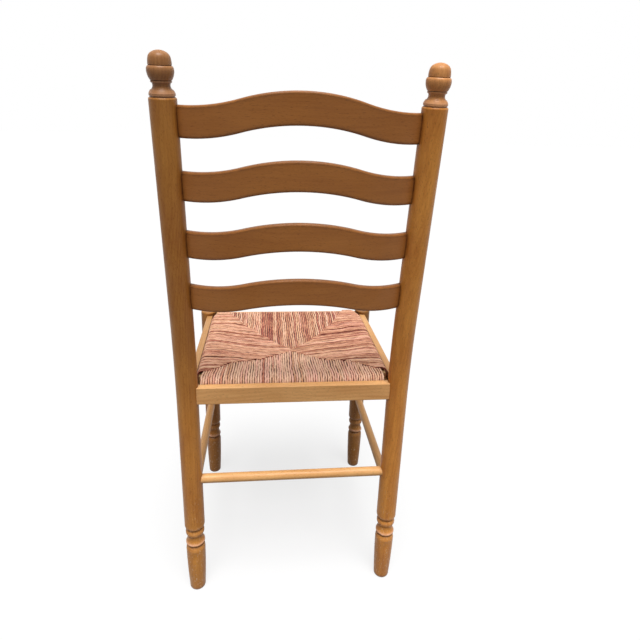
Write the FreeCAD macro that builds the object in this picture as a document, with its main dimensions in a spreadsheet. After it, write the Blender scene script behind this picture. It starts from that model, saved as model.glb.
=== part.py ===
"""Ladderback chair: round posts, bowed slats, flat seat rails, round stretchers and a drop-in rush seat.

Frame: millimetres, +Z up from the floor, the chair faces -Y, and +X is the sitter's left.
The origin is on the floor under the middle of the chair's overall width and depth.
"""
import FreeCAD
import Part
import math
import os
import Sketcher

Vector = FreeCAD.Vector

SIZES = (
    # overall frame
    ("leg_spacing", 390),               # between leg axes, side to side
    ("leg_depth", 356),                 # between leg axes, front to back
    ("back_post_diameter", 39),
    ("back_post_height", 953),          # floor to the middle of the post's top
    ("front_leg_diameter", 38),
    ("front_leg_height", 475),
    ("leg_top_rounding", 3),
    ("bend_start_height", 410),         # the posts are straight below this
    ("bend_radius", 1500),
    ("rake_angle", 7.5),
    # turned feet, each length stacked on the one below it
    ("foot_tip_inset", 3.9),
    ("foot_tip_rounding", 4),
    ("barrel_length", 97),
    ("barrel_inset", 0.7),
    ("barrel_swell", 0.6),
    ("barrel_shoulder", 8.5),
    ("shoulder_inset", 2.6),
    ("groove_slope", 2.5),
    ("groove_width", 4),
    ("groove_inset", 5),
    ("collar_undercut", 1),
    ("collar_rim", 2),
    ("collar_inset", 0.8),
    ("flare_length", 14),
    ("flare_hollow", 1),
    ("neck_length", 2),
    ("neck_inset", 4.6),
    ("bead_length", 16),
    ("bead_swell", 3.3),
    ("ankle_groove", 3),
    ("ankle_undercut", 1.5),
    ("ankle_inset", 1.2),
    ("ankle_length", 4),
    # acorn finials, each length stacked on the one below it
    ("spigot_diameter", 8),
    ("spigot_length", 22),
    ("finial_base_diameter", 36.2),
    ("finial_groove", 1.8),
    ("finial_groove_depth", 0.9),
    ("finial_rim", 2.9),
    ("finial_slope", 4.7),
    ("finial_slope_swell", 0.2),
    ("finial_step_diameter", 30.8),
    ("finial_step", 0.7),
    ("finial_neck_length", 8.6),
    ("finial_neck_hollow", 1.6),
    ("finial_bead_diameter", 29),
    ("finial_bead", 3.7),
    ("finial_bead_swell", 1.7),
    ("cup_root_diameter", 29.4),
    ("cup_diameter", 36.9),
    ("cup_rise", 12.1),
    ("cup_swell", 0.9),
    ("cup_lip", 3),
    ("cup_lip_inset", 0.35),
    ("cup_lip_swell", 0.1),
    ("cup_shoulder", 3.4),
    ("cup_shoulder_swell", 0.5),
    ("dome_diameter", 32),
    ("dome_notch", 0.7),
    ("dome_side", 8.7),
    ("dome_side_inset", 0.9),
    ("dome_side_swell", 0.27),
    ("dome_shoulder", 6.3),
    ("dome_shoulder_swell", 0.75),
    ("dome_crown", 3.4),
    ("dome_crown_diameter", 22),
    # back slats
    ("slat_start_height", 623),
    ("slat_pitch", 92),
    ("slat_height", 45),
    ("slat_thickness", 10),
    ("slat_bow", 40),
    ("slat_arch", 27),
    ("slat_rounding", 3),
    ("slat_tenon_thickness", 8),
    ("slat_tenon_height", 37),
    ("slat_tenon_depth", 13),
    # seat rails
    ("rail_drop", 8),                   # below the tops of the front legs
    ("rail_height", 34),
    ("rail_thickness", 20),
    ("rail_rounding", 2),
    ("end_rail_offset", 9.5),           # outer face beyond the leg axis, front and rear rails
    ("side_rail_offset", 3.3),          # the same for the side rails
    ("rail_land", 13.5),                # top of the rail outside the rebate
    ("rebate_depth", 18),
    ("rail_tenon_thickness", 9),
    ("rail_tenon_height", 24),
    ("end_tenon_depth", 15),
    ("mortise_wall", 1.5),
    # stretchers
    ("stretcher_diameter", 18),
    ("stretcher_socket_depth", 15),
    ("end_stretcher_height", 265),
    ("side_stretcher_height", 221),
    # drop-in seat
    ("seat_gap", 1),
    ("seat_crown", 10),                 # above the rails
    ("seat_dish", 11),
    ("seat_dish_radius", 160),
    ("seat_edge_rounding", 9),
    ("seat_corner_width", 12),
    ("seat_corner_depth", 35),
    ("rush_wrap", 5),
    ("rush_under", 4.5),
    ("stick_width", 22),
    ("stick_height", 14),
    ("stick_corner", 1.5),
    ("stick_tenon_diameter", 9),
    ("stick_tenon_length", 14),
    # corner blocks and screws
    ("block_leg", 60),
    ("block_blunt", 8),
    ("block_corner_cut", 12),
    ("screw_diameter", 4),
    ("screw_head_diameter", 7),
    ("screw_head_height", 2.5),
    ("screw_grip", 9),                  # block left under a head
    ("screw_bite", 12),                 # length in the rail or stick
    ("screw_recess_gap", 0.5),
    ("block_screw_setback", 48),
    ("seat_screw_setback", 34),
    # fits
    ("fit_gap", 0.1),
    ("end_gap", 0.5),
    ("edge_break", 1),                  # chamfer on the hidden ends of turned sticks
)

doc = FreeCAD.newDocument("ladderback_chair")
sheet = doc.addObject("Spreadsheet::Sheet", "dim")
for row, (alias, size) in enumerate(SIZES, start=1):
    sheet.set(f"A{row}", alias)
    sheet.set(f"B{row}", str(size))
    sheet.setAlias(f"B{row}", alias)
doc.recompute()

# Shared places, as formulas over the sheet.
BACK_R = "dim.back_post_diameter / 2"
FRONT_R = "dim.front_leg_diameter / 2"
LEG_X = "dim.leg_spacing / 2"
LEAN = "dim.rake_angle"
LEAN_START = "(dim.bend_start_height + dim.bend_radius * tan(dim.rake_angle / 2))"
SLAT_TOP_HEIGHT = "(dim.slat_start_height + 3 * dim.slat_pitch)"
BACK_REACH = (
    f"(({SLAT_TOP_HEIGHT} - {LEAN_START}) * tan({LEAN})"
    f" + (dim.slat_height + dim.slat_arch - dim.slat_rounding) * sin({LEAN})"
    f" + (dim.slat_bow + dim.slat_thickness / 2 - dim.slat_rounding) * cos({LEAN}) + dim.slat_rounding)"
)
BACK_Y = f"((dim.leg_depth + {FRONT_R} - {BACK_REACH}) / 2)"
FRONT_Y = f"({BACK_Y} - dim.leg_depth)"
MIDDLE_Y = f"({BACK_Y} - dim.leg_depth / 2)"
RAIL_TOP = "(dim.front_leg_height - dim.rail_drop)"
RAIL_BOTTOM = f"({RAIL_TOP} - dim.rail_height)"
LEDGE = f"({RAIL_TOP} - dim.rebate_depth)"
SIDES = (("left", "", 1), ("right", "-", -1))


def amount(formula):
    """The number that a formula over the sheet has now."""
    return float(sheet.evalExpression(formula))


def place(item, x="0", y="0", z="0", axis=Vector(0, 0, 1), angle=0, turn=None):
    """Put an object at formulas for x, y, z, turned about axis by a fixed angle or by the formula turn."""
    start = amount(turn) if turn else angle
    item.Placement = FreeCAD.Placement(Vector(0, 0, 0), FreeCAD.Rotation(axis, start))
    for name, formula in zip("xyz", (x, y, z)):
        item.setExpression(f"Placement.Base.{name}", formula)
    if turn:
        item.setExpression("Placement.Rotation.Angle", turn)


def new_body(name):
    body = doc.addObject("PartDesign::Body", name)
    body.Label = name
    return body


def sketch_on(body, name, role, offset="0"):
    """A sketch on one of the body's own origin planes, moved along the plane's normal by a formula."""
    sketch = body.newObject("Sketcher::SketchObject", name)
    plane = [feature for feature in body.Origin.OriginFeatures if feature.Role == role][0]
    sketch.AttachmentSupport = [(plane, "")]
    sketch.MapMode = "FlatFace"
    sketch.setExpression("AttachmentOffset.Base.z", offset)
    return sketch


def bind(sketch, constraint, name, formula):
    """Add a constraint whose size follows a formula."""
    index = sketch.addConstraint(constraint)
    sketch.renameConstraint(index, name)
    sketch.setExpression(f"Constraints.{name}", formula)


def fix_point(sketch, edge, end, x, y, name):
    """Hold one end of an edge at formulas for x and y."""
    for kind, formula, line in (("DistanceX", x, -2), ("DistanceY", y, -1)):
        if formula == "0":
            sketch.addConstraint(Sketcher.Constraint("PointOnObject", edge, end, line))
        else:
            value = amount(formula)
            bind(sketch, Sketcher.Constraint(kind, -1, 1, edge, end, value), f"{name}_{kind[-1]}", formula)


def arc_between(start, end, radius, side):
    """The shorter arc from start to end. Side 1 has its centre on the left of the way, -1 on the right."""
    chord = end - start
    rise = math.sqrt(radius ** 2 - (chord.Length / 2) ** 2)
    left = Vector(-chord.y, chord.x, 0).normalize()
    centre = (start + end) * 0.5 + left * (rise * side)
    first, last = (start, end) if side > 0 else (end, start)
    angles = [math.atan2(point.y - centre.y, point.x - centre.x) for point in (first, last)]
    if angles[1] < angles[0]:
        angles[1] += 2 * math.pi
    return Part.ArcOfCircle(Part.Circle(centre, Vector(0, 0, 1), radius), *angles)


def outline(sketch, corners, name="corner"):
    """Draw a closed outline. A corner is (x, y), or (x, y, radius, side) where an arc leads up to it."""
    points = [Vector(amount(corner[0]), amount(corner[1]), 0) for corner in corners]
    edges = []
    for index, corner in enumerate(corners):
        start, end = points[index - 1], points[index]
        if len(corner) == 2:
            edge = sketch.addGeometry(Part.LineSegment(start, end))
            edges.append((edge, 1, 2))
        else:
            radius, side = corner[2], corner[3]
            edge = sketch.addGeometry(arc_between(start, end, amount(radius), side))
            edges.append((edge, 1, 2) if side > 0 else (edge, 2, 1))
            size = Sketcher.Constraint("Radius", edge, amount(radius))
            bind(sketch, size, f"{name}_{index}_radius", radius)
    for index, (edge, _, last) in enumerate(edges):
        following, first, _ = edges[(index + 1) % len(edges)]
        sketch.addConstraint(Sketcher.Constraint("Coincident", edge, last, following, first))
        fix_point(sketch, edge, last, corners[index][0], corners[index][1], f"{name}_{index}")


def circle(sketch, x, y, radius, name):
    edge = sketch.addGeometry(Part.Circle(Vector(amount(x), amount(y), 0), Vector(0, 0, 1), amount(radius)))
    fix_point(sketch, edge, 3, x, y, name)
    bind(sketch, Sketcher.Constraint("Radius", edge, amount(radius)), f"{name}_radius", radius)


def pad(body, sketch, name, length):
    feature = body.newObject("PartDesign::Pad", name)
    feature.Profile = sketch
    feature.setExpression("Length", length)
    return feature


def cut_through(body, sketch, name, reverse=False):
    """Cut a sketch right through the body, and check that the cut takes material or leaves it whole."""
    doc.recompute()
    before = body.Shape.Volume
    feature = body.newObject("PartDesign::Pocket", name)
    feature.Profile = sketch
    feature.Type = "ThroughAll"
    feature.Reversed = reverse
    doc.recompute()
    if not 0 < body.Shape.Volume < before:
        raise ValueError(f"{name} cuts nothing")
    return feature


def round_edges(body, name, radius, wanted):
    """Round the edges of the body's last feature that pass a test."""
    doc.recompute()
    last = body.Tip
    chosen = [f"Edge{index}" for index, edge in enumerate(last.Shape.Edges, start=1) if wanted(edge)]
    feature = body.newObject("PartDesign::Fillet", name)
    feature.Base = (last, chosen)
    feature.setExpression("Radius", radius)


def spin(body, sketch, name, axis):
    feature = body.newObject("PartDesign::Revolution", name)
    feature.Profile = sketch
    feature.ReferenceAxis = (sketch, [axis])
    feature.Angle = 360
    return feature


def box(name, x, y, z, length, width, height):
    item = doc.addObject("Part::Box", name)
    for size, formula in (("Length", length), ("Width", width), ("Height", height)):
        item.setExpression(size, formula)
    place(item, x, y, z)
    return item


def rod(name, x, y, z, radius, height, axis=Vector(0, 0, 1), angle=0, turn=None):
    """A cylinder from a point along its own turned Z."""
    item = doc.addObject("Part::Cylinder", name)
    item.setExpression("Radius", radius)
    item.setExpression("Height", height)
    place(item, x, y, z, axis, angle, turn)
    return item


def joined(name, items):
    item = doc.addObject("Part::MultiFuse", name)
    item.Shapes = items
    return item


def cut_from(name, base, tools):
    """The named piece: base less the tools."""
    item = doc.addObject("Part::Cut", name)
    item.Base = base
    item.Tool = tools[0] if len(tools) == 1 else joined(f"{name}_cutters", tools)
    item.Label = name
    return item


def stacked(*lengths):
    """Running heights: each formula adds its length to the ones before it."""
    heights = []
    total = "0"
    for length in lengths:
        total = f"{total} + {length}"
        heights.append(f"({total})")
    return heights


def swelling(run, rise, swell):
    """Radius of the arc that stands out by swell from a chord with this run and rise."""
    return f"((({run}) ^ 2 + ({rise}) ^ 2) / 4 + ({swell}) ^ 2) / (2 * ({swell}))"


def turning_in(run, rise):
    """Radius of the arc that leaves an upright line and has moved in by run at a rise."""
    return f"(({run}) ^ 2 + ({rise}) ^ 2) / (2 * ({run}))"


FOOT = stacked(
    "dim.foot_tip_rounding", "dim.barrel_length", "dim.barrel_shoulder",
    "dim.groove_slope", "dim.groove_width", "dim.collar_undercut", "dim.collar_rim",
    "dim.flare_length", "dim.neck_length", "dim.bead_length",
    "dim.ankle_groove", "dim.ankle_undercut", "dim.ankle_length",
)
FOOT_TOP = FOOT[-1]


def foot_outline(radius):
    """Half outline of a turned foot, from the floor up to the plain leg."""
    tip = f"{radius} - dim.foot_tip_inset"
    groove = f"{radius} - dim.groove_inset"
    collar = f"{radius} - dim.collar_inset"
    neck = f"{radius} - dim.neck_inset"
    barrel = swelling("dim.foot_tip_inset - dim.barrel_inset", "dim.barrel_length", "dim.barrel_swell")
    shoulder = turning_in("dim.shoulder_inset - dim.barrel_inset", "dim.barrel_shoulder")
    flare = swelling("dim.neck_inset - dim.collar_inset", "dim.flare_length", "dim.flare_hollow")
    return [
        ("0", "0"),
        (f"{tip} - dim.foot_tip_rounding", "0"),
        (tip, FOOT[0], "dim.foot_tip_rounding", 1),
        (f"{radius} - dim.barrel_inset", FOOT[1], barrel, 1),
        (f"{radius} - dim.shoulder_inset", FOOT[2], shoulder, 1),
        (groove, FOOT[3]),
        (groove, FOOT[4]),
        (collar, FOOT[5]),
        (collar, FOOT[6]),
        (neck, FOOT[7], flare, -1),
        (neck, FOOT[8]),
        (neck, FOOT[9], swelling("0", "dim.bead_length", "dim.bead_swell"), 1),
        (neck, FOOT[10]),
        (f"{radius} - dim.ankle_inset", FOOT[11]),
        (radius, FOOT[12], turning_in("dim.ankle_inset", "dim.ankle_length"), 1),
    ]


def front_leg_blank(side, sign):
    """A front leg before its joints are cut: one turning with a flat, round-edged top."""
    body = new_body(f"front_leg_{side}_blank")
    place(body, f"{sign}{LEG_X}", FRONT_Y)
    profile = sketch_on(body, f"front_leg_{side}_profile", "XZ_Plane")
    top = [
        (FRONT_R, "dim.front_leg_height - dim.leg_top_rounding"),
        (f"{FRONT_R} - dim.leg_top_rounding", "dim.front_leg_height", "dim.leg_top_rounding", 1),
        ("0", "dim.front_leg_height"),
    ]
    outline(profile, foot_outline(FRONT_R) + top)
    spin(body, profile, f"front_leg_{side}_turning", "V_Axis")
    return body


def back_post_blank(side, sign):
    """A back post before its joints are cut: a turned foot, then a round bar that bends back."""
    body = new_body(f"back_post_{side}_blank")
    place(body, f"{sign}{LEG_X}", BACK_Y)
    profile = sketch_on(body, f"back_post_{side}_profile", "XZ_Plane")
    outline(profile, foot_outline(BACK_R) + [("0", FOOT_TOP)])
    spin(body, profile, f"back_post_{side}_turning", "V_Axis")
    bend_end_y = f"dim.bend_radius * (1 - cos({LEAN}))"
    bend_end_z = f"dim.bend_start_height + dim.bend_radius * sin({LEAN})"
    top_y = f"(dim.back_post_height - {LEAN_START}) * tan({LEAN})"
    stations = [
        ("0", FOOT_TOP),
        ("0", "dim.bend_start_height"),
        (bend_end_y, bend_end_z),
        (top_y, "dim.back_post_height"),
    ]
    points = [Vector(amount(y), amount(z), 0) for y, z in stations]
    spine = sketch_on(body, f"back_post_{side}_spine", "YZ_Plane")
    lower = spine.addGeometry(Part.LineSegment(points[0], points[1]))
    bend = spine.addGeometry(arc_between(points[1], points[2], amount("dim.bend_radius"), -1))
    upper = spine.addGeometry(Part.LineSegment(points[2], points[3]))
    spine.addConstraint(Sketcher.Constraint("Coincident", lower, 2, bend, 2))
    spine.addConstraint(Sketcher.Constraint("Coincident", bend, 1, upper, 1))
    bind(spine, Sketcher.Constraint("Radius", bend, amount("dim.bend_radius")), "bend", "dim.bend_radius")
    ends = ((lower, 1), (lower, 2), (upper, 1), (upper, 2))
    for index, ((edge, end), (y, z)) in enumerate(zip(ends, stations)):
        fix_point(spine, edge, end, y, z, f"station_{index}")
    section = sketch_on(body, f"back_post_{side}_section", "XY_Plane", FOOT_TOP)
    circle(section, "0", "0", BACK_R, "bar")
    bar = body.newObject("PartDesign::AdditivePipe", f"back_post_{side}_bar")
    bar.Profile = section
    bar.Spine = (spine, ["Edge1", "Edge2", "Edge3"])
    doc.recompute()
    top = max(edge.BoundBox.ZMax for edge in bar.Shape.Edges)
    round_edges(body, f"back_post_{side}_rim", "dim.leg_top_rounding",
                lambda edge: edge.Closed and edge.BoundBox.ZMax > top - 1)
    return body


def finial(side, sign):
    """An acorn with a spigot below it, leaning with its post."""
    name = f"finial_{side}"
    body = new_body(name)
    top_y = f"{BACK_Y} + (dim.back_post_height - {LEAN_START}) * tan({LEAN})"
    place(body, f"{sign}{LEG_X}", top_y, "dim.back_post_height", axis=Vector(-1, 0, 0), turn=LEAN)
    steps = stacked(
        "dim.finial_groove", "dim.finial_rim", "dim.finial_slope",
        "dim.finial_neck_length", "dim.finial_bead", "dim.cup_rise", "dim.cup_lip", "dim.cup_shoulder",
        "dim.dome_notch", "dim.dome_side", "dim.dome_shoulder", "dim.dome_crown",
    )
    spigot = "dim.spigot_diameter / 2"
    base = "dim.finial_base_diameter / 2"
    step = "dim.finial_step_diameter / 2"
    neck = f"{step} - dim.finial_step"
    root = "dim.finial_bead_diameter / 2 - dim.finial_bead_swell"
    cup_root = "dim.cup_root_diameter / 2"
    cup = "dim.cup_diameter / 2"
    lip = f"{cup} - dim.cup_lip_inset"
    dome = "dim.dome_diameter / 2"
    notch = f"{dome} - dim.dome_notch"
    side_top = f"{dome} - dim.dome_side_inset"
    crown = "dim.dome_crown_diameter / 2"
    step_arc = swelling(f"{base} - {step}", "dim.finial_slope", "dim.finial_slope_swell")
    neck_arc = swelling(f"{neck} - ({root})", "dim.finial_neck_length", "dim.finial_neck_hollow")
    bead_arc = swelling("0", "dim.finial_bead", "dim.finial_bead_swell")
    cup_arc = swelling(f"{cup} - {cup_root}", "dim.cup_rise", "dim.cup_swell")
    lip_arc = swelling("dim.cup_lip_inset", "dim.cup_lip", "dim.cup_lip_swell")
    notch_arc = swelling(f"{lip} - ({notch})", "dim.cup_shoulder", "dim.cup_shoulder_swell")
    side_arc = swelling("dim.dome_side_inset", "dim.dome_side", "dim.dome_side_swell")
    shoulder_arc = swelling(f"{side_top} - {crown}", "dim.dome_shoulder", "dim.dome_shoulder_swell")
    profile = sketch_on(body, f"{name}_profile", "XZ_Plane")
    outline(profile, [
        ("0", "-dim.spigot_length"),
        (f"{spigot} - dim.edge_break", "-dim.spigot_length"),
        (spigot, "dim.edge_break - dim.spigot_length"),
        (spigot, "0"),
        (f"{base} - dim.finial_groove_depth", "0"),
        (f"{base} - dim.finial_groove_depth", steps[0]),
        (base, steps[0]),
        (base, steps[1]),
        (step, steps[2], step_arc, 1),
        (neck, steps[2]),
        (root, steps[3], neck_arc, -1),
        (root, steps[4], bead_arc, 1),
        (cup_root, steps[4]),
        (cup, steps[5], cup_arc, 1),
        (lip, steps[6], lip_arc, 1),
        (notch, steps[7], notch_arc, 1),
        (dome, steps[8]),
        (side_top, steps[9], side_arc, 1),
        (crown, steps[10], shoulder_arc, 1),
        ("0", steps[11], turning_in("dim.dome_crown", crown), 1),
    ])
    spin(body, profile, f"{name}_turning", "V_Axis")
    return body


# Bowed slats. In a slat's own frame X runs across the back, Y is the bow and Z goes up along the rake.
SLAT_REACH = f"({LEG_X} - {BACK_R})"
BOW_RADIUS = f"(({SLAT_REACH} ^ 2 + dim.slat_bow ^ 2) / (2 * dim.slat_bow))"
SLATS = (("slat_bottom", 0), ("slat_lower", 1), ("slat_upper", 2), ("slat_top", 3))


def bow_at(x, thickness, side):
    """Where the bow's face stands at x: side 1 is the rear face, side -1 the front one."""
    sign = "+" if side > 0 else "-"
    return f"dim.slat_bow - {BOW_RADIUS} + sqrt(({BOW_RADIUS} {sign} {thickness} / 2) ^ 2 - ({x}) ^ 2)"


def bow_outline(sketch, x, thickness):
    """The bow seen from above, out to x on both sides."""
    rear, front = bow_at(x, thickness, 1), bow_at(x, thickness, -1)
    outline(sketch, [
        (f"-({x})", front),
        (f"{x}", front, f"{BOW_RADIUS} - {thickness} / 2", -1),
        (f"{x}", rear),
        (f"-({x})", rear, f"{BOW_RADIUS} + {thickness} / 2", 1),
    ])


def wave(height):
    """Corners of a wavy edge from one post to the other, at a height over the bottom of the slat's ends."""
    bend = f"(({SLAT_REACH} / 2) ^ 2 + (dim.slat_arch / 2) ^ 2) / dim.slat_arch"
    half = f"{height} + dim.slat_arch / 2"
    crest = f"{height} + dim.slat_arch"
    return [
        (SLAT_REACH, height),
        (f"{SLAT_REACH} / 2", half, bend, -1),
        ("0", crest, bend, 1),
        (f"-{SLAT_REACH} / 2", half, bend, 1),
        (f"-{SLAT_REACH}", height, bend, -1),
    ]


def place_slat(body, step):
    height = f"(dim.slat_start_height + {step} * dim.slat_pitch)"
    place(body, "0", f"{BACK_Y} + ({height} - {LEAN_START}) * tan({LEAN})", height,
          axis=Vector(-1, 0, 0), turn=LEAN)


def slat(name, step):
    body = new_body(name)
    place_slat(body, step)
    plan = sketch_on(body, f"{name}_plan", "XY_Plane")
    bow_outline(plan, LEG_X, "dim.slat_thickness")
    pad(body, plan, f"{name}_bow", "dim.slat_height + dim.slat_arch * 2")
    behind = "-(dim.slat_bow + dim.slat_thickness)"
    below = sketch_on(body, f"{name}_lower_wave", "XZ_Plane", behind)
    outline(below, wave("0"))
    cut_through(body, below, f"{name}_lower_edge", reverse=True)
    above = sketch_on(body, f"{name}_upper_wave", "XZ_Plane", behind)
    crown = "dim.slat_height + dim.slat_arch * 3"
    frame = [(f"-({LEG_X}) * 2", "dim.slat_height"), (f"-({LEG_X}) * 2", crown),
             (f"({LEG_X}) * 2", crown), (f"({LEG_X}) * 2", "dim.slat_height")]
    outline(above, wave("dim.slat_height") + frame)
    cut_through(body, above, f"{name}_upper_edge", reverse=True)
    across = amount("dim.slat_thickness")
    round_edges(body, f"{name}_rounding", "dim.slat_rounding", lambda edge: edge.BoundBox.XLength > across)
    cope = sketch_on(body, f"{name}_cope", "XY_Plane", crown)
    for side, sign, _ in SIDES:
        circle(cope, f"{sign}{LEG_X}", "0", f"{BACK_R} + dim.fit_gap", side)
    cut_through(body, cope, f"{name}_coped_ends")
    tenons = sketch_on(body, f"{name}_tenons", "XY_Plane", "(dim.slat_height - dim.slat_tenon_height) / 2")
    root = f"({SLAT_REACH} - dim.slat_rounding)"
    tip = f"({SLAT_REACH} + dim.slat_tenon_depth)"
    thickness = "dim.slat_tenon_thickness"
    for side, sign, _ in SIDES:
        outline(tenons, [
            (f"{sign}{root}", bow_at(root, thickness, -1)),
            (f"{sign}{tip}", bow_at(tip, thickness, -1)),
            (f"{sign}{tip}", bow_at(tip, thickness, 1)),
            (f"{sign}{root}", bow_at(root, thickness, 1)),
        ], name=side)
    pad(body, tenons, f"{name}_tenon_ends", "dim.slat_tenon_height")
    return body


def slat_mortises(name, step):
    """What a slat's two tenons take out of the posts."""
    body = new_body(f"{name}_mortises")
    place_slat(body, step)
    plan = sketch_on(body, f"{name}_mortise_plan", "XY_Plane",
                     "(dim.slat_height - dim.slat_tenon_height) / 2 - dim.fit_gap")
    bow_outline(plan, f"({SLAT_REACH} + dim.slat_tenon_depth + dim.end_gap)",
                "(dim.slat_tenon_thickness + 2 * dim.fit_gap)")
    pad(body, plan, f"{name}_mortise_block", "dim.slat_tenon_height + 2 * dim.fit_gap")
    return body


# Seat rails. In a rail's own frame X runs along it from the middle, Y = 0 is the leg axes and +Y is outside.
TENON_SHIFT = "(dim.rail_land + dim.rail_tenon_thickness) / 2"
TENON_BOTTOM = "(dim.rail_height - dim.rail_tenon_height) / 2"
END_TIP = f"({LEG_X} - {BACK_R} + dim.end_tenon_depth)"
SIDE_TIP = f"(dim.leg_depth / 2 - ({TENON_SHIFT} - dim.end_rail_offset + dim.mortise_wall))"
SIDE_INNER = f"({LEG_X} + dim.side_rail_offset - dim.rail_thickness)"


def rail(name, half_span, offset, radii, tip, corner=None):
    """A rail with a rebate for the seat, ends coped to the round legs, and a tenon right along it."""
    body = new_body(f"{name}_blank")
    section = sketch_on(body, f"{name}_section", "YZ_Plane", f"-({half_span})")
    top = "dim.rail_height"
    rounding = "dim.rail_rounding"
    outline(section, [
        (f"{offset} - dim.rail_thickness", "0"),
        (f"{offset} - {rounding}", "0"),
        (offset, rounding, rounding, 1),
        (offset, f"{top} - {rounding}"),
        (f"{offset} - {rounding}", top, rounding, 1),
        (f"{offset} - dim.rail_land", top),
        (f"{offset} - dim.rail_land", f"{top} - dim.rebate_depth"),
        (f"{offset} - dim.rail_thickness", f"{top} - dim.rebate_depth"),
    ])
    pad(body, section, f"{name}_bar", f"2 * {half_span}")
    cope = sketch_on(body, f"{name}_cope", "XY_Plane", "2 * dim.rail_height")
    for label, sign, radius in (("far", "", radii[0]), ("near", "-", radii[1])):
        circle(cope, f"{sign}{half_span}", "0", f"{radius} + dim.fit_gap", label)
    cut_through(body, cope, f"{name}_coped_ends")
    if corner:
        relief = sketch_on(body, f"{name}_relief", "XY_Plane", "2 * dim.rail_height")
        inside = f"{corner} - dim.fit_gap"
        for side, sign, _ in SIDES:
            outline(relief, [
                (f"{sign}({inside})", f"-{half_span}"),
                (f"{sign}{half_span} * 2", f"-{half_span}"),
                (f"{sign}{half_span} * 2", "0"),
                (f"{sign}({inside})", "0"),
            ], name=side)
        feature = body.newObject("PartDesign::Pocket", f"{name}_corner_relief")
        feature.Profile = relief
        feature.Type = "ThroughAll"
    tenon = sketch_on(body, f"{name}_tenon", "YZ_Plane", f"-{tip}")
    inner = f"{offset} - {TENON_SHIFT}"
    outline(tenon, [
        (inner, TENON_BOTTOM),
        (f"{inner} + dim.rail_tenon_thickness", TENON_BOTTOM),
        (f"{inner} + dim.rail_tenon_thickness", f"{TENON_BOTTOM} + dim.rail_tenon_height"),
        (inner, f"{TENON_BOTTOM} + dim.rail_tenon_height"),
    ])
    pad(body, tenon, f"{name}_tenons", f"2 * {tip}")
    return body


def rail_mortises(name, tip, offset):
    """What a rail's two tenons take out of the legs, in the rail's own frame."""
    return box(
        f"{name}_mortises",
        f"-({tip} + dim.end_gap)",
        f"{offset} - {TENON_SHIFT} - dim.fit_gap",
        f"{TENON_BOTTOM} - dim.fit_gap",
        f"2 * ({tip} + dim.end_gap)",
        "dim.rail_tenon_thickness + 2 * dim.fit_gap",
        "dim.rail_tenon_height + 2 * dim.fit_gap",
    )


def stretcher(name, half_span, radii, y, z, x="0", angle=0):
    """A round rung whose ends go into the legs at their full thickness."""
    body = new_body(name)
    place(body, x, y, z, angle=angle)
    profile = sketch_on(body, f"{name}_profile", "XZ_Plane")
    full = "dim.stretcher_diameter / 2"
    depth = "dim.stretcher_socket_depth"
    near, far = f"({half_span} - {radii[1]} + {depth})", f"({half_span} - {radii[0]} + {depth})"
    outline(profile, [
        (f"-{near}", "0"),
        (far, "0"),
        (far, f"{full} - dim.edge_break"),
        (f"{far} - dim.edge_break", full),
        (f"-({near} - dim.edge_break)", full),
        (f"-{near}", f"{full} - dim.edge_break"),
    ])
    spin(body, profile, f"{name}_turning", "H_Axis")
    socket = rod(
        f"{name}_sockets", "0", "0", "0", f"{full} + dim.fit_gap", f"{near} + {far} + 2 * dim.end_gap",
        axis=Vector(0, 1, 0), angle=90,
    )
    return body, socket


# Seat frame and rush
SEAT_X = f"({LEG_X} + dim.side_rail_offset - dim.rail_land - dim.seat_gap)"
SEAT_BACK = f"({BACK_Y} + dim.end_rail_offset - dim.rail_land - dim.seat_gap)"
SEAT_FRONT = f"({FRONT_Y} - dim.end_rail_offset + dim.rail_land + dim.seat_gap)"
STICK_Z = f"({LEDGE} + dim.rush_under)"
END_STICK_X = f"({SEAT_X} - dim.seat_corner_width - dim.stick_corner)"
SIDE_STICK_X = f"({SEAT_X} - dim.rush_wrap - dim.stick_width)"
SIDE_STICK_BACK = f"({SEAT_BACK} - dim.rush_wrap - dim.stick_width)"
SIDE_STICK_FRONT = f"({SEAT_FRONT} + dim.rush_wrap + dim.stick_width)"
STICK_TENON_X = f"(({SIDE_STICK_X} + {END_STICK_X}) / 2)"


def stick_tenons(name, sign, grow):
    """The two round tenons of a side stick, or the sockets that they fit when grown by a fit."""
    middle = f"{STICK_Z} + dim.stick_height / 2"
    length = f"dim.stick_tenon_length + {grow}"
    radius = f"dim.stick_tenon_diameter / 2 + {grow}"
    x = f"{sign}{STICK_TENON_X}"
    return [
        rod(f"{name}_rear", x, SIDE_STICK_BACK, middle, radius, length, axis=Vector(-1, 0, 0), angle=90),
        rod(f"{name}_front", x, SIDE_STICK_FRONT, middle, radius, length, axis=Vector(1, 0, 0), angle=90),
    ]


def seat_outline_corners():
    """Half of the seat's outline: notched round the back posts and cut across at the front legs."""
    inner_x = f"{SEAT_X} - dim.seat_corner_width"
    return [
        (inner_x, SEAT_FRONT),
        (SEAT_X, f"{SEAT_FRONT} + dim.seat_corner_depth"),
        (SEAT_X, f"{SEAT_BACK} - dim.seat_corner_depth"),
        (inner_x, f"{SEAT_BACK} - dim.seat_corner_depth"),
        (inner_x, SEAT_BACK),
    ]


def rim_corner(edge, top, direction):
    """The waste outside a rounded rim, seen along it: direction 1 where the seat lies on the low side."""
    sign = "-" if direction > 0 else "+"
    away = "+" if direction > 0 else "-"
    return [
        (f"{edge} {sign} dim.seat_edge_rounding", top),
        (edge, f"{top} - dim.seat_edge_rounding", "dim.seat_edge_rounding", -direction),
        (f"{edge} {away} dim.seat_edge_rounding", f"{top} - dim.seat_edge_rounding"),
        (f"{edge} {away} dim.seat_edge_rounding", f"{top} + dim.seat_edge_rounding"),
        (f"{edge} {sign} dim.seat_edge_rounding", f"{top} + dim.seat_edge_rounding"),
    ]


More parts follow.
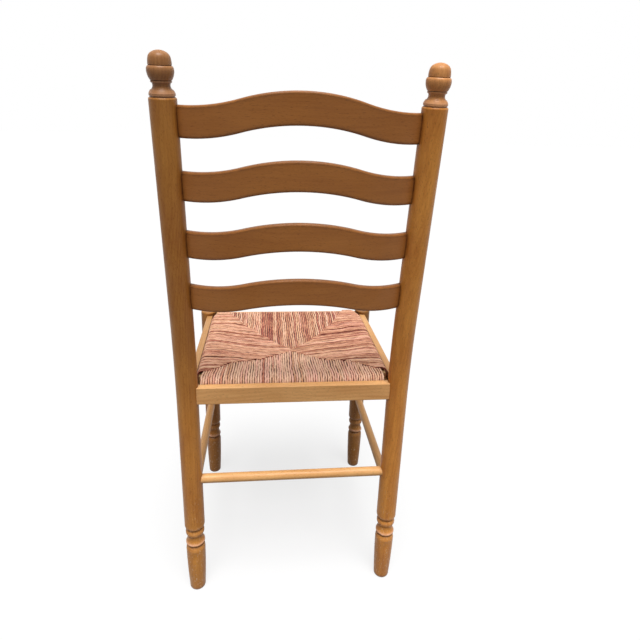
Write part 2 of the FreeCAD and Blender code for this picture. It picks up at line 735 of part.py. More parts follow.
def rush_blank():
    """The rush seat's outer form: soft edges round a shallow dish."""
    body = new_body("rush_seat_blank")
    plan = sketch_on(body, "rush_seat_plan", "XY_Plane", LEDGE)
    right = seat_outline_corners()
    left = [(f"-({x})", y) for x, y in reversed(right)]
    outline(plan, right + left)
    height = "(dim.rebate_depth + dim.seat_crown)"
    pad(body, plan, "rush_seat_block", height)
    top = f"({LEDGE} + {height})"
    side_rim = sketch_on(body, "rush_seat_side_rim", "XZ_Plane", f"-2 * {SEAT_BACK}")
    for side, sign, direction in SIDES:
        outline(side_rim, rim_corner(f"{sign}{SEAT_X}", top, direction), name=side)
    cut_through(body, side_rim, "rush_seat_side_rounding", reverse=True)
    end_rim = sketch_on(body, "rush_seat_end_rim", "YZ_Plane", f"2 * {SEAT_X}")
    outline(end_rim, rim_corner(SEAT_BACK, top, 1), name="rear")
    outline(end_rim, rim_corner(SEAT_FRONT, top, -1), name="front")
    cut_through(body, end_rim, "rush_seat_end_rounding")
    dish = doc.addObject("Part::Sphere", "rush_seat_dish")
    radius = "((dim.seat_dish_radius ^ 2 + dim.seat_dish ^ 2) / (2 * dim.seat_dish))"
    dish.setExpression("Radius", radius)
    place(dish, "0", MIDDLE_Y, f"{LEDGE} + {height} - dim.seat_dish + {radius}")
    return body, dish


def screw(name, x, y, z, axis, angle):
    """A pan-head screw whose seat is at x, y, z and whose shank goes along its turned Z, and its hole."""
    length = "dim.screw_grip + dim.screw_bite"
    turned = FreeCAD.Rotation(axis, angle).multVec(Vector(0, 0, 1))
    back = [f"{start} - ({round(part)}) * " for start, part in zip((x, y, z), turned)]
    head_start = [f"{step}dim.screw_head_height" for step in back]
    recess_start = [f"{step}dim.block_leg" for step in back]
    shank = rod(f"{name}_shank", x, y, z, "dim.screw_diameter / 2", length, axis, angle)
    head = rod(f"{name}_head", *head_start, "dim.screw_head_diameter / 2", "dim.screw_head_height",
               axis, angle)
    hole = rod(f"{name}_hole", x, y, z, "dim.screw_diameter / 2 + dim.fit_gap",
               f"{length} + dim.end_gap", axis, angle)
    recess = rod(f"{name}_recess", *recess_start, "dim.screw_head_diameter / 2 + dim.screw_recess_gap",
                 "dim.block_leg", axis, angle)
    return joined(name, [shank, head]), joined(f"{name}_cut", [hole, recess])


def corner_block(number, sign_x, at_back):
    """A block in a rail corner, with its three screws. Its own frame has its square corner at the origin."""
    name = f"corner_block_{number}"
    body = new_body(f"{name}_blank")
    inward = "-" if at_back else "+"
    side = "" if sign_x > 0 else "-"
    corner_x = f"{side}{SIDE_INNER}"
    leg_y = BACK_Y if at_back else FRONT_Y
    outward = "+" if at_back else "-"
    corner_y = f"({leg_y} {outward} (dim.end_rail_offset - dim.rail_thickness))"
    turn = {(1, True): 180, (-1, True): 270, (-1, False): 0, (1, False): 90}[(sign_x, at_back)]
    place(body, corner_x, corner_y, RAIL_BOTTOM, angle=turn)
    plan = sketch_on(body, f"{name}_plan", "XY_Plane")
    cut, leg, blunt = "dim.block_corner_cut", "dim.block_leg", "dim.block_blunt"
    outline(plan, [(cut, "0"), (leg, "0"), (leg, blunt), (blunt, leg), ("0", leg), ("0", cut)])
    pad(body, plan, f"{name}_prism", "dim.rail_height - dim.rebate_depth")
    middle = f"{RAIL_BOTTOM} + (dim.rail_height - dim.rebate_depth) / 2"
    into_x = "-" if sign_x > 0 else "+"
    side_screw, side_hole = screw(
        f"block_screw_{number}_side",
        f"{corner_x} {into_x} dim.screw_grip", f"{corner_y} {inward} dim.block_screw_setback", middle,
        Vector(0, 1, 0), 90 * sign_x,
    )
    end_screw, end_hole = screw(
        f"block_screw_{number}_end",
        f"{corner_x} {into_x} dim.block_screw_setback", f"{corner_y} {inward} dim.screw_grip", middle,
        Vector(1, 0, 0), -90 if at_back else 90,
    )
    up_screw, up_hole = screw(
        f"seat_screw_{number}",
        f"{side}({SIDE_STICK_X} + dim.stick_width / 2)", f"{corner_y} {inward} dim.seat_screw_setback",
        f"{LEDGE} - dim.screw_grip", Vector(0, 0, 1), 0,
    )
    block = cut_from(name, body, [side_hole, end_hole, up_hole])
    return block, (side_screw, end_screw), (side_hole, end_hole), up_screw, up_hole


def main():
    nodes = []
    # joints that the legs receive
    slats = []
    slat_cutters = []
    for name, step in SLATS:
        slats.append(slat(name, step))
        slat_cutters.append(slat_mortises(name, step))
    radii = {"end_rear": (BACK_R, BACK_R), "end_front": (FRONT_R, FRONT_R), "side": (FRONT_R, BACK_R)}
    half_depth = "dim.leg_depth / 2"
    rail_places = {
        "rear": (LEG_X, "dim.end_rail_offset", radii["end_rear"], END_TIP, SIDE_INNER, "0", BACK_Y, 0),
        "front": (LEG_X, "dim.end_rail_offset", radii["end_front"], END_TIP, SIDE_INNER, "0", FRONT_Y, 180),
        "left": (half_depth, "dim.side_rail_offset", radii["side"], SIDE_TIP, None, LEG_X, MIDDLE_Y, -90),
        "right": (half_depth, "dim.side_rail_offset", radii["side"][::-1], SIDE_TIP, None,
                  f"-{LEG_X}", MIDDLE_Y, 90),
    }
    rails = {}
    rail_cutters = {}
    for side, (span, offset, ends, tip, corner, x, y, angle) in rail_places.items():
        name = f"seat_rail_{side}"
        rails[side] = rail(name, span, offset, ends, tip, corner)
        place(rails[side], x, y, RAIL_BOTTOM, angle=angle)
        holder = doc.addObject("Part::Compound", f"{name}_mortise_place")
        holder.Links = [rail_mortises(name, tip, offset)]
        place(holder, x, y, RAIL_BOTTOM, angle=angle)
        rail_cutters[side] = holder
    stretchers = {}
    socket_cutters = {}
    stretcher_places = {
        "rear": (LEG_X, radii["end_rear"], BACK_Y, "dim.end_stretcher_height", "0", 0),
        "front": (LEG_X, radii["end_front"], FRONT_Y, "dim.end_stretcher_height", "0", 0),
        "left": (half_depth, radii["side"], MIDDLE_Y, "dim.side_stretcher_height", LEG_X, -90),
        "right": (half_depth, radii["side"], MIDDLE_Y, "dim.side_stretcher_height", f"-{LEG_X}", -90),
    }
    for side, (span, ends, y, z, x, angle) in stretcher_places.items():
        stretchers[side], socket = stretcher(f"stretcher_{side}", span, ends, y, z, x, angle)
        near = f"({span} - {ends[1]} + dim.stretcher_socket_depth + dim.end_gap)"
        if angle == 0:
            place(socket, f"-{near}", y, z, axis=Vector(0, 1, 0), angle=90)
        else:
            place(socket, x, f"{y} + {near}", z, axis=Vector(1, 0, 0), angle=90)
        socket_cutters[side] = socket
    # legs and posts
    for side, sign, _ in SIDES:
        top_y = f"{BACK_Y} + (dim.back_post_height - {LEAN_START}) * tan({LEAN})"
        depth = "(dim.spigot_length + dim.end_gap)"
        bore = rod(
            f"finial_{side}_socket", f"{sign}{LEG_X}", f"{top_y} - {depth} * sin({LEAN})",
            f"dim.back_post_height - {depth} * cos({LEAN})", "dim.spigot_diameter / 2 + dim.fit_gap",
            f"{depth} * 2", axis=Vector(-1, 0, 0), turn=LEAN,
        )
        post = back_post_blank(side, sign)
        post_cuts = slat_cutters + [rail_cutters["rear"], rail_cutters[side], socket_cutters["rear"],
                                    socket_cutters[side], bore]
        nodes.append(cut_from(f"back_post_{side}", post, post_cuts))
        leg = front_leg_blank(side, sign)
        leg_cuts = [rail_cutters["front"], rail_cutters[side], socket_cutters["front"],
                    socket_cutters[side]]
        nodes.append(cut_from(f"front_leg_{side}", leg, leg_cuts))
        nodes.append(finial(side, sign))
    nodes += slats
    nodes += list(stretchers.values())
    # corner blocks and screws
    corners = ((1, 1, True), (2, -1, True), (3, 1, False), (4, -1, False))
    block_screws = []
    seat_screws = []
    rail_holes = {"rear": [], "front": [], "left": [], "right": []}
    seat_holes = {"left": [], "right": []}
    for number, sign_x, at_back in corners:
        block, screws, holes, up_screw, up_hole = corner_block(number, sign_x, at_back)
        side = "left" if sign_x > 0 else "right"
        nodes.append(block)
        block_screws += screws
        seat_screws.append(up_screw)
        rail_holes[side].append(holes[0])
        rail_holes["rear" if at_back else "front"].append(holes[1])
        seat_holes[side].append(up_hole)
    for side, body in rails.items():
        nodes.append(cut_from(f"seat_rail_{side}", body, rail_holes[side]))
    for name, screws in (("block_screws", block_screws), ("seat_screws", seat_screws)):
        group = doc.addObject("Part::Compound", name)
        group.Links = list(screws)
        nodes.append(group)
    # seat frame
    sockets = []
    frame = []
    for side, sign, direction in SIDES:
        tenons = stick_tenons(f"seat_frame_{side}_tenon", sign, "0")
        sockets += stick_tenons(f"seat_frame_{side}_socket", sign, "dim.fit_gap")
        x = SIDE_STICK_X if direction > 0 else f"-({SIDE_STICK_X} + dim.stick_width)"
        stick = box(f"seat_frame_{side}_stick", x, SIDE_STICK_FRONT, STICK_Z,
                    "dim.stick_width", f"{SIDE_STICK_BACK} - {SIDE_STICK_FRONT}", "dim.stick_height")
        whole = joined(f"seat_frame_{side}_blank", [stick] + tenons)
        frame.append(cut_from(f"seat_frame_{side}", whole, seat_holes[side]))
    for side, y, ends in (
        ("rear", SIDE_STICK_BACK, [sockets[0], sockets[2]]),
        ("front", f"({SIDE_STICK_FRONT} - dim.stick_width)", [sockets[1], sockets[3]]),
    ):
        stick = box(f"seat_frame_{side}_stick", f"-{END_STICK_X}", y, STICK_Z,
                    f"2 * {END_STICK_X}", "dim.stick_width", "dim.stick_height")
        frame.append(cut_from(f"seat_frame_{side}", stick, ends))
    nodes += frame
    # rush, hollow where the frame lies inside it
    blank, dish = rush_blank()
    room = []
    gap = "dim.fit_gap"
    for side, sign, direction in SIDES:
        x = SIDE_STICK_X if direction > 0 else f"-({SIDE_STICK_X} + dim.stick_width)"
        room.append(box(f"rush_room_{side}",
                        f"{x} - {gap}", f"{SIDE_STICK_FRONT} - {gap}", f"{STICK_Z} - {gap}",
                        f"dim.stick_width + 2 * {gap}",
                        f"{SIDE_STICK_BACK} - {SIDE_STICK_FRONT} + 2 * {gap}",
                        f"dim.stick_height + 2 * {gap}"))
    for side, y in (("rear", SIDE_STICK_BACK), ("front", f"{SIDE_STICK_FRONT} - dim.stick_width")):
        room.append(box(f"rush_room_{side}",
                        f"-{END_STICK_X} - {gap}", f"{y} - {gap}", f"{STICK_Z} - {gap}",
                        f"2 * ({END_STICK_X} + {gap})", f"dim.stick_width + 2 * {gap}",
                        f"dim.stick_height + 2 * {gap}"))
    nodes.append(cut_from("rush_seat", blank, [dish] + room + seat_holes["left"] + seat_holes["right"]))
    doc.recompute()
    check(nodes)
    write(nodes)


def check(nodes):
    """Stop where an object failed or a piece is null, invalid or in more solids than it should be."""
    failed = [item.Name for item in doc.Objects if {"Invalid", "Error"} & set(item.State)]
    if failed:
        raise ValueError(f"failed objects: {failed}")
    groups = {"block_screws": 8, "seat_screws": 4}
    for node in nodes:
        shape = node.Shape
        if shape.isNull() or not shape.isValid():
            raise ValueError(f"{node.Label} has a bad shape")
        if len(shape.Solids) != groups.get(node.Label, 1):
            raise ValueError(f"{node.Label} has {len(shape.Solids)} solids")


def write(nodes):
    os.makedirs("parts", exist_ok=True)
    for node in nodes:
        node.Shape.exportStep(f"parts/{node.Label}.step")
        bounds = node.Shape.BoundBox
        print(f"{node.Label:20s} volume {node.Shape.Volume / 1000:8.1f} cm3  "
              f"x {bounds.XMin:7.1f} {bounds.XMax:7.1f}  y {bounds.YMin:7.1f} {bounds.YMax:7.1f}  "
              f"z {bounds.ZMin:7.1f} {bounds.ZMax:7.1f}")


main()
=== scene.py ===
"""Ladderback chair with a woven rush seat: lacquered wood, wound rush cords and a plain pale studio.

Sizes are in metres, but in millimetres where a name ends in _MM and while the weave is laid. The chair
faces -Y, and +X is the sitter's left.
"""

import math

import bpy
import numpy as np
from mathutils import Matrix, Vector, noise


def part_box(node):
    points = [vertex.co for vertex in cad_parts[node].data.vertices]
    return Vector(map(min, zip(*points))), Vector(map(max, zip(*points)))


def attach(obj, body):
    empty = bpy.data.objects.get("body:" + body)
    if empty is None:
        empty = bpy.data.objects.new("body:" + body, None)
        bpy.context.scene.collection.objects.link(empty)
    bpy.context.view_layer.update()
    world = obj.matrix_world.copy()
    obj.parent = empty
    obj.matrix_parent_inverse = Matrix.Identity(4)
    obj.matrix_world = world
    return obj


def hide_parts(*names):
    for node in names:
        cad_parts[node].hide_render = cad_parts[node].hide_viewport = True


bl_info = {
    "name": "Ladderback Chair",
    "version": (1, 0, 0),
    "blender": (4, 5, 0),
    "location": "View3D > Sidebar > Chair",
    "description": "Finishes a ladderback chair: wood, rush seat and studio",
    "category": "Object",
}

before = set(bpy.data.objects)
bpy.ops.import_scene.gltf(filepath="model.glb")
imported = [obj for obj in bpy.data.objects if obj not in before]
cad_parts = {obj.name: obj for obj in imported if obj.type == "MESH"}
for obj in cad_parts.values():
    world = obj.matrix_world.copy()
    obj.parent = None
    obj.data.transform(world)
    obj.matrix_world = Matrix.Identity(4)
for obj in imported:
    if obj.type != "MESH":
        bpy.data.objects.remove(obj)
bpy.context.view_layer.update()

MM = 0.001
SEAT_LOW, SEAT_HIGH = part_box("rush_seat")
POST_LOW, POST_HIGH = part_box("back_post_left")
UPRIGHTS = ("back_post_left", "back_post_right", "front_leg_left", "front_leg_right")
FINIALS = ("finial_left", "finial_right")
SLATS = ("slat_top", "slat_upper", "slat_lower", "slat_bottom")
RAILS = ("seat_rail_rear", "seat_rail_front", "seat_rail_left", "seat_rail_right")
STRETCHERS = ("stretcher_rear", "stretcher_front", "stretcher_left", "stretcher_right")
SEAT_STICKS = ("seat_frame_rear", "seat_frame_front", "seat_frame_left", "seat_frame_right")
CORNER_BLOCKS = ("corner_block_1", "corner_block_2", "corner_block_3", "corner_block_4")
SCREWS = ("block_screws", "seat_screws")


def colour_setting(name, description, red, green, blue):
    """A colour property written as it looks on screen, 0 to 255."""
    return bpy.props.FloatVectorProperty(
        name=name, description=description, subtype="COLOR_GAMMA", size=3, min=0.0, max=1.0,
        default=(red / 255, green / 255, blue / 255))


def size_setting(name, description, default):
    """A length property in metres."""
    return bpy.props.FloatProperty(
        name=name, description=description, default=default, unit="LENGTH", precision=5)


def number_setting(name, description, default, **limits):
    return bpy.props.FloatProperty(name=name, description=description, default=default, **limits)


class ChairWoodSettings(bpy.types.PropertyGroup):
    post_light: colour_setting("Post light", "Light wood of the posts and legs", 222, 153, 70)
    post_dark: colour_setting("Post dark", "Grain lines of posts and legs", 174, 104, 38)
    slat_light: colour_setting("Slat light", "Light wood of the back slats", 187, 121, 58)
    slat_dark: colour_setting("Slat dark", "Grain lines of the back slats", 163, 100, 45)
    rail_light: colour_setting("Rail light", "Light wood of the seat rails and stretchers", 243, 188, 124)
    rail_dark: colour_setting("Rail dark", "Grain lines of the seat rails and stretchers", 208, 147, 86)
    finial_light: colour_setting("Finial light", "Light wood of the finials", 208, 145, 84)
    finial_dark: colour_setting("Finial dark", "Grain lines of the finials", 162, 99, 48)
    # A pale colour that paints a highlight on beads, rims and other outside edges.
    rubbed_and_highlight: colour_setting("Rubbed", "Wood where the lacquer is rubbed thin on beads", 246, 190, 154)
    scuffed: colour_setting("Scuffed", "Small scuffs near the floor", 238, 208, 168)
    slat_edge: colour_setting("Slat edge", "Edges of the back slats, darker than their faces", 104, 62, 28)
    # A dark colour that paints shade into grooves, joints and inside corners.
    painted_crevice_shade: colour_setting("Painted shade", "Stain gathered in grooves and joints", 62, 26, 10)
    bare_light: colour_setting("Bare light", "Unfinished wood under the seat", 214, 176, 128)
    bare_dark: colour_setting("Bare dark", "Grain of the unfinished wood under the seat", 182, 140, 94)
    gloss: number_setting("Gloss", "Mirror-like share of the lacquer", 0.25,
                          min=0.0, max=1.0, subtype="FACTOR")


class ChairRushSettings(bpy.types.PropertyGroup):
    pitch: size_setting("Pitch", "Distance between neighbouring cords", 0.0045)
    thickness: size_setting("Thickness", "Diameter of a cord", 0.0046)
    sway: size_setting("Sway", "How far groups of cords wander sideways", 0.0035)
    wobble: size_setting("Wobble", "How far a single cord wanders", 0.0011)
    twist_length: size_setting("Twist length", "Length of one turn of a cord's twist", 0.016)
    straw: colour_setting("Straw", "Palest cords", 246, 206, 176)
    tan: colour_setting("Tan", "Usual cords", 220, 168, 130)
    red_brown: colour_setting("Red brown", "Darker cords", 172, 96, 74)
    dark: colour_setting("Dark", "Darkest cords and the shadow between cords", 96, 42, 34)
    blush: colour_setting("Blush", "Pink tinge of some cords", 255, 240, 250)
    seed: bpy.props.IntProperty(name="Seed", description="Start of the random draws of the weave", default=7)


class ChairStageSettings(bpy.types.PropertyGroup):
    floor_colour: colour_setting("Floor", "Floor as the camera sees it", 120, 120, 120)
    bounce_colour: colour_setting("Bounce", "Floor as the chair sees it", 108, 103, 96)
    floor_glow: number_setting("Floor glow", "Whiteness that the floor has by itself", 0.78)
    sky_strength: number_setting("Sky", "Even light from all round", 0.2)
    sun_strength: number_setting("Overhead light", "Soft light from above", 3.6)
    sun_spread: number_setting("Overhead spread", "Width of the overhead light", math.radians(35),
                               subtype="ANGLE")


def linear(colour):
    """A screen colour as the light values that a shader takes."""
    return [c / 12.92 if c <= 0.04045 else ((c + 0.055) / 1.055) ** 2.4 for c in colour] + [1.0]


class NodeSheet:
    """Adds nodes to one shader tree. An input given as a socket is linked, and anything else is set."""

    def __init__(self, tree):
        self.tree = tree

    def add(self, kind, inputs=None, **settings):
        node = self.tree.nodes.new(kind)
        for name, value in settings.items():
            setattr(node, name, value)
        for key, value in (inputs or {}).items():
            if isinstance(value, bpy.types.NodeSocket):
                self.tree.links.new(value, node.inputs[key])
            else:
                node.inputs[key].default_value = value
        return node

    def math(self, operation, *values, clamp=False):
        node = self.add("ShaderNodeMath", dict(enumerate(values)), operation=operation, use_clamp=clamp)
        return node.outputs[0]

    def vector(self, operation, *values):
        return self.add("ShaderNodeVectorMath", dict(enumerate(values)), operation=operation).outputs[0]

    def mix(self, factor, first, second, blend="MIX"):
        node = self.add("ShaderNodeMix", {"Factor": factor}, data_type="RGBA", blend_type=blend)
        for socket, value in zip((node.inputs[6], node.inputs[7]), (first, second)):
            if isinstance(value, bpy.types.NodeSocket):
                self.tree.links.new(value, socket)
            else:
                socket.default_value = value
        return node.outputs[2]

    def noise(self, vector, scale, detail=3.0, roughness=0.5):
        return self.add("ShaderNodeTexNoise", {"Vector": vector, "Scale": scale, "Detail": detail,
                                               "Roughness": roughness})

    def spread(self, value, low, high, new_low=0.0, new_high=1.0):
        """Ease a value from low..high to new_low..new_high."""
        return self.add("ShaderNodeMapRange", {"Value": value, "From Min": low, "From Max": high,
                                               "To Min": new_low, "To Max": new_high},
                        interpolation_type="SMOOTHSTEP").outputs["Result"]

    def group(self, tree, vector, **inputs):
        """A node group fed with a vector. The other inputs are numbers."""
        node = self.add("ShaderNodeGroup", node_tree=tree)
        self.tree.links.new(vector, node.inputs["Vector"])
        for name, value in inputs.items():
            node.inputs[name].default_value = value
        return node.outputs


def new_group(name, inputs, outputs):
    """An empty node group: its sheet, its input sockets and its output node."""
    tree = bpy.data.node_groups.new(name, "ShaderNodeTree")
    for label, kind, default in inputs:
        socket = tree.interface.new_socket(name=label, in_out="INPUT", socket_type=kind)
        if default is not None:
            socket.default_value = default
    for label, kind in outputs:
        tree.interface.new_socket(name=label, in_out="OUTPUT", socket_type=kind)
    sheet = NodeSheet(tree)
    return sheet, sheet.add("NodeGroupInput").outputs, sheet.add("NodeGroupOutput")


def new_material(name):
    """An empty material and its sheet."""
    material = bpy.data.materials.new(name)
    material.use_nodes = True
    material.node_tree.nodes.clear()
    return material, NodeSheet(material.node_tree)


# The wood. A noise scale counts per metre, and a stretch under 1 draws the noise out along the grain.
# For each grain axis, what the grain's own X, Y and Z are on the piece.
GRAIN_AXES = {"X": ("Y", "Z", "X"), "Y": ("X", "Z", "Y"), "Z": ("X", "Y", "Z")}
# Nearly all of a noise lies between these values.
NOISE_MIDDLE = (0.3, 0.7)
GRAIN_DRIFT = 0.02
# Where the heart of the growth rings lies, and how it leans against the grain.
HEART_X = 0.045
HEART_Y = 0.03
HEART_LEAN = 0.02
RING_ANGLE_PER_METRE = 1500.0
# How much each pattern counts in the tone, and in the height of the relief.
STREAK_TONE = 0.30
FINE_TONE = 0.16
CLOUD_TONE = 0.40
PORE_HEIGHT = -0.7
STREAK_HEIGHT = 0.3
# Between these values of its noise or its openness, a mark goes from none to full.
PORE_RANGE = (0.60, 0.72)
RUBBED_RANGE = (0.42, 0.72)
SPECK_RANGE = (0.62, 0.68)
CREST_RANGE = (0.55, 0.96)
CREVICE_SHADE_RANGE = (0.42, 0.92)
AO_SAMPLES = 8
# How strongly pores and scuffs colour the wood, and how dark a pore is beside the grain lines.
PORE_SHARE = 0.5
PORE_SHADE = 0.72
SCUFF_SHARE = 0.8
# Heights between which a piece goes from its low share of lightness to its high share; on the front legs this
# darkening upwards is painted shade under the seat.
SHADE_LOW = 0.22
SHADE_HIGH = 0.60
# Below this height the outside edges of the posts and legs take a painted highlight, which fades out above it
# over the second distance.
CREST_HIGHLIGHT_TOP = 0.17
EDGE_COLOUR_FADE = 0.02
SLAT_BOW = 0.040
SLAT_REACH = POST_LOW.x
# Roughness, strength of the grain's relief, and coat.
LACQUERED = (0.40, 0.25, 0.1)
BARE = (0.72, 0.5, 0.0)
RELIEF_DEPTH = 0.0003
COAT_ROUGHNESS = 0.3
RUBBED_ROUGHNESS = 0.14
PORE_ROUGHNESS = 0.1


def wood_grain_group():
    """Growth rings, long streaks and short pores. The grain runs along the vector's Z."""
    name = "wood_grain"
    if name in bpy.data.node_groups:
        return bpy.data.node_groups[name]
    sheet, given, out = new_group(
        name,
        [("Vector", "NodeSocketVector", None), ("Figure", "NodeSocketFloat", 0.35)],
        [("Tone", "NodeSocketFloat"), ("Pores", "NodeSocketFloat"), ("Height", "NodeSocketFloat")],
    )
    drift = sheet.noise(given["Vector"], 5.0, 2.0).outputs["Color"]
    drift = sheet.vector("SUBTRACT", drift, (0.5, 0.5, 0.5))
    drift = sheet.vector("MULTIPLY", drift, (GRAIN_DRIFT, GRAIN_DRIFT, 0.0))
    bent = sheet.vector("ADD", given["Vector"], drift)
    parts = sheet.add("ShaderNodeSeparateXYZ", {"Vector": bent}).outputs
    # rings round a heart that lies outside the piece, so that they cross it as gentle arcs
    across = sheet.math("ADD", parts["X"], HEART_X)
    lean = sheet.math("MULTIPLY", parts["Z"], HEART_LEAN)
    deep = sheet.math("ADD", lean, sheet.math("ADD", parts["Y"], HEART_Y))
    squares = [sheet.math("MULTIPLY", value, value) for value in (across, deep)]
    from_heart = sheet.math("SQRT", sheet.math("ADD", *squares))
    rings = sheet.math("SINE", sheet.math("MULTIPLY", from_heart, RING_ANGLE_PER_METRE))
    rings = sheet.math("MULTIPLY_ADD", rings, 0.5, 0.5)
    long_grain = sheet.vector("MULTIPLY", bent, (1.0, 1.0, 0.05))
    streaks = sheet.noise(long_grain, 120.0, 5.0, 0.6).outputs["Fac"]
    streaks = sheet.spread(streaks, *NOISE_MIDDLE)
    fine = sheet.noise(sheet.vector("MULTIPLY", bent, (1.0, 1.0, 0.025)), 900.0, 2.0).outputs["Fac"]
    fine = sheet.spread(fine, *NOISE_MIDDLE)
    clouds = sheet.noise(sheet.vector("MULTIPLY", bent, (1.0, 1.0, 0.35)), 22.0, 3.0, 0.55).outputs["Fac"]
    clouds = sheet.spread(clouds, *NOISE_MIDDLE)
    figured = sheet.math("MULTIPLY", rings, given["Figure"])
    tone = sheet.math("MULTIPLY_ADD", streaks, STREAK_TONE, figured)
    tone = sheet.math("MULTIPLY_ADD", fine, FINE_TONE, tone)
    tone = sheet.math("MULTIPLY_ADD", clouds, CLOUD_TONE, tone, clamp=True)
    dashes = sheet.noise(sheet.vector("MULTIPLY", bent, (1.0, 1.0, 0.16)), 1100.0, 1.0).outputs["Fac"]
    pores = sheet.spread(dashes, *PORE_RANGE)
    height = sheet.math("MULTIPLY_ADD", pores, PORE_HEIGHT, sheet.math("MULTIPLY", streaks, STREAK_HEIGHT))
    for label, value in (("Tone", tone), ("Pores", pores), ("Height", height)):
        sheet.tree.links.new(value, out.inputs[label])
    return sheet.tree


def soft_wear_group():
    """Handling marks: patches where the lacquer is rougher, and small scuffs, denser towards the floor."""
    name = "soft_wear"
    if name in bpy.data.node_groups:
        return bpy.data.node_groups[name]
    sheet, given, out = new_group(
        name,
        [("Vector", "NodeSocketVector", None), ("Floor Height", "NodeSocketFloat", 0.28)],
        [("Rubbed", "NodeSocketFloat"), ("Scuffs", "NodeSocketFloat")],
    )
    rubbed_and_highlight = sheet.spread(sheet.noise(given["Vector"], 18.0, 4.0).outputs["Fac"], *RUBBED_RANGE)
    height = sheet.add("ShaderNodeSeparateXYZ", {"Vector": given["Vector"]}).outputs["Z"]
    near_floor = sheet.math("SUBTRACT", 1.0, sheet.math("DIVIDE", height, given["Floor Height"]), clamp=True)
    tall = sheet.vector("MULTIPLY", given["Vector"], (1.0, 1.0, 0.3))
    specks = sheet.spread(sheet.noise(tall, 420.0, 2.0, 0.6).outputs["Fac"], *SPECK_RANGE)
    scuffs = sheet.math("MULTIPLY", specks, near_floor)
    sheet.tree.links.new(rubbed_and_highlight, out.inputs["Rubbed"])
    sheet.tree.links.new(scuffs, out.inputs["Scuffs"])
    return sheet.tree


def outside_edges_group():
    """Outside edges: beads, rims and the like, as a share from 0 to 1. With a pale colour it paints a
    highlight on them.
    """
    name = "rubbed_crests"
    if name in bpy.data.node_groups:
        return bpy.data.node_groups[name]
    sheet, given, out = new_group(
        name,
        [("Vector", "NodeSocketVector", None), ("Reach", "NodeSocketFloat", 0.009)],
        [("Share", "NodeSocketFloat")],
    )
    inner = sheet.add("ShaderNodeAmbientOcclusion", {"Distance": given["Reach"]}, samples=AO_SAMPLES,
                      inside=True).outputs["AO"]
    crest = sheet.spread(inner, *CREST_RANGE, 1.0, 0.0)
    uneven = sheet.spread(sheet.noise(given["Vector"], 120.0, 2.0).outputs["Fac"], *NOISE_MIDDLE, 0.55, 1.0)
    sheet.tree.links.new(sheet.math("MULTIPLY", crest, uneven), out.inputs["Share"])
    return sheet.tree


def crevice_shade_group():
    """Painted shade in grooves, joints and inside corners, as a share from 0 to 1."""
    name = "gathered_stain"
    if name in bpy.data.node_groups:
        return bpy.data.node_groups[name]
    sheet, given, out = new_group(
        name,
        [("Vector", "NodeSocketVector", None), ("Reach", "NodeSocketFloat", 0.010)],
        [("Share", "NodeSocketFloat")],
    )
    open_air = sheet.add("ShaderNodeAmbientOcclusion", {"Distance": given["Reach"]},
                         samples=AO_SAMPLES).outputs["AO"]
    closed = sheet.spread(open_air, *CREVICE_SHADE_RANGE, 1.0, 0.0)
    uneven = sheet.spread(sheet.noise(given["Vector"], 90.0, 2.0).outputs["Fac"], *NOISE_MIDDLE, 0.7, 1.0)
    sheet.tree.links.new(sheet.math("MULTIPLY", closed, uneven), out.inputs["Share"])
    return sheet.tree


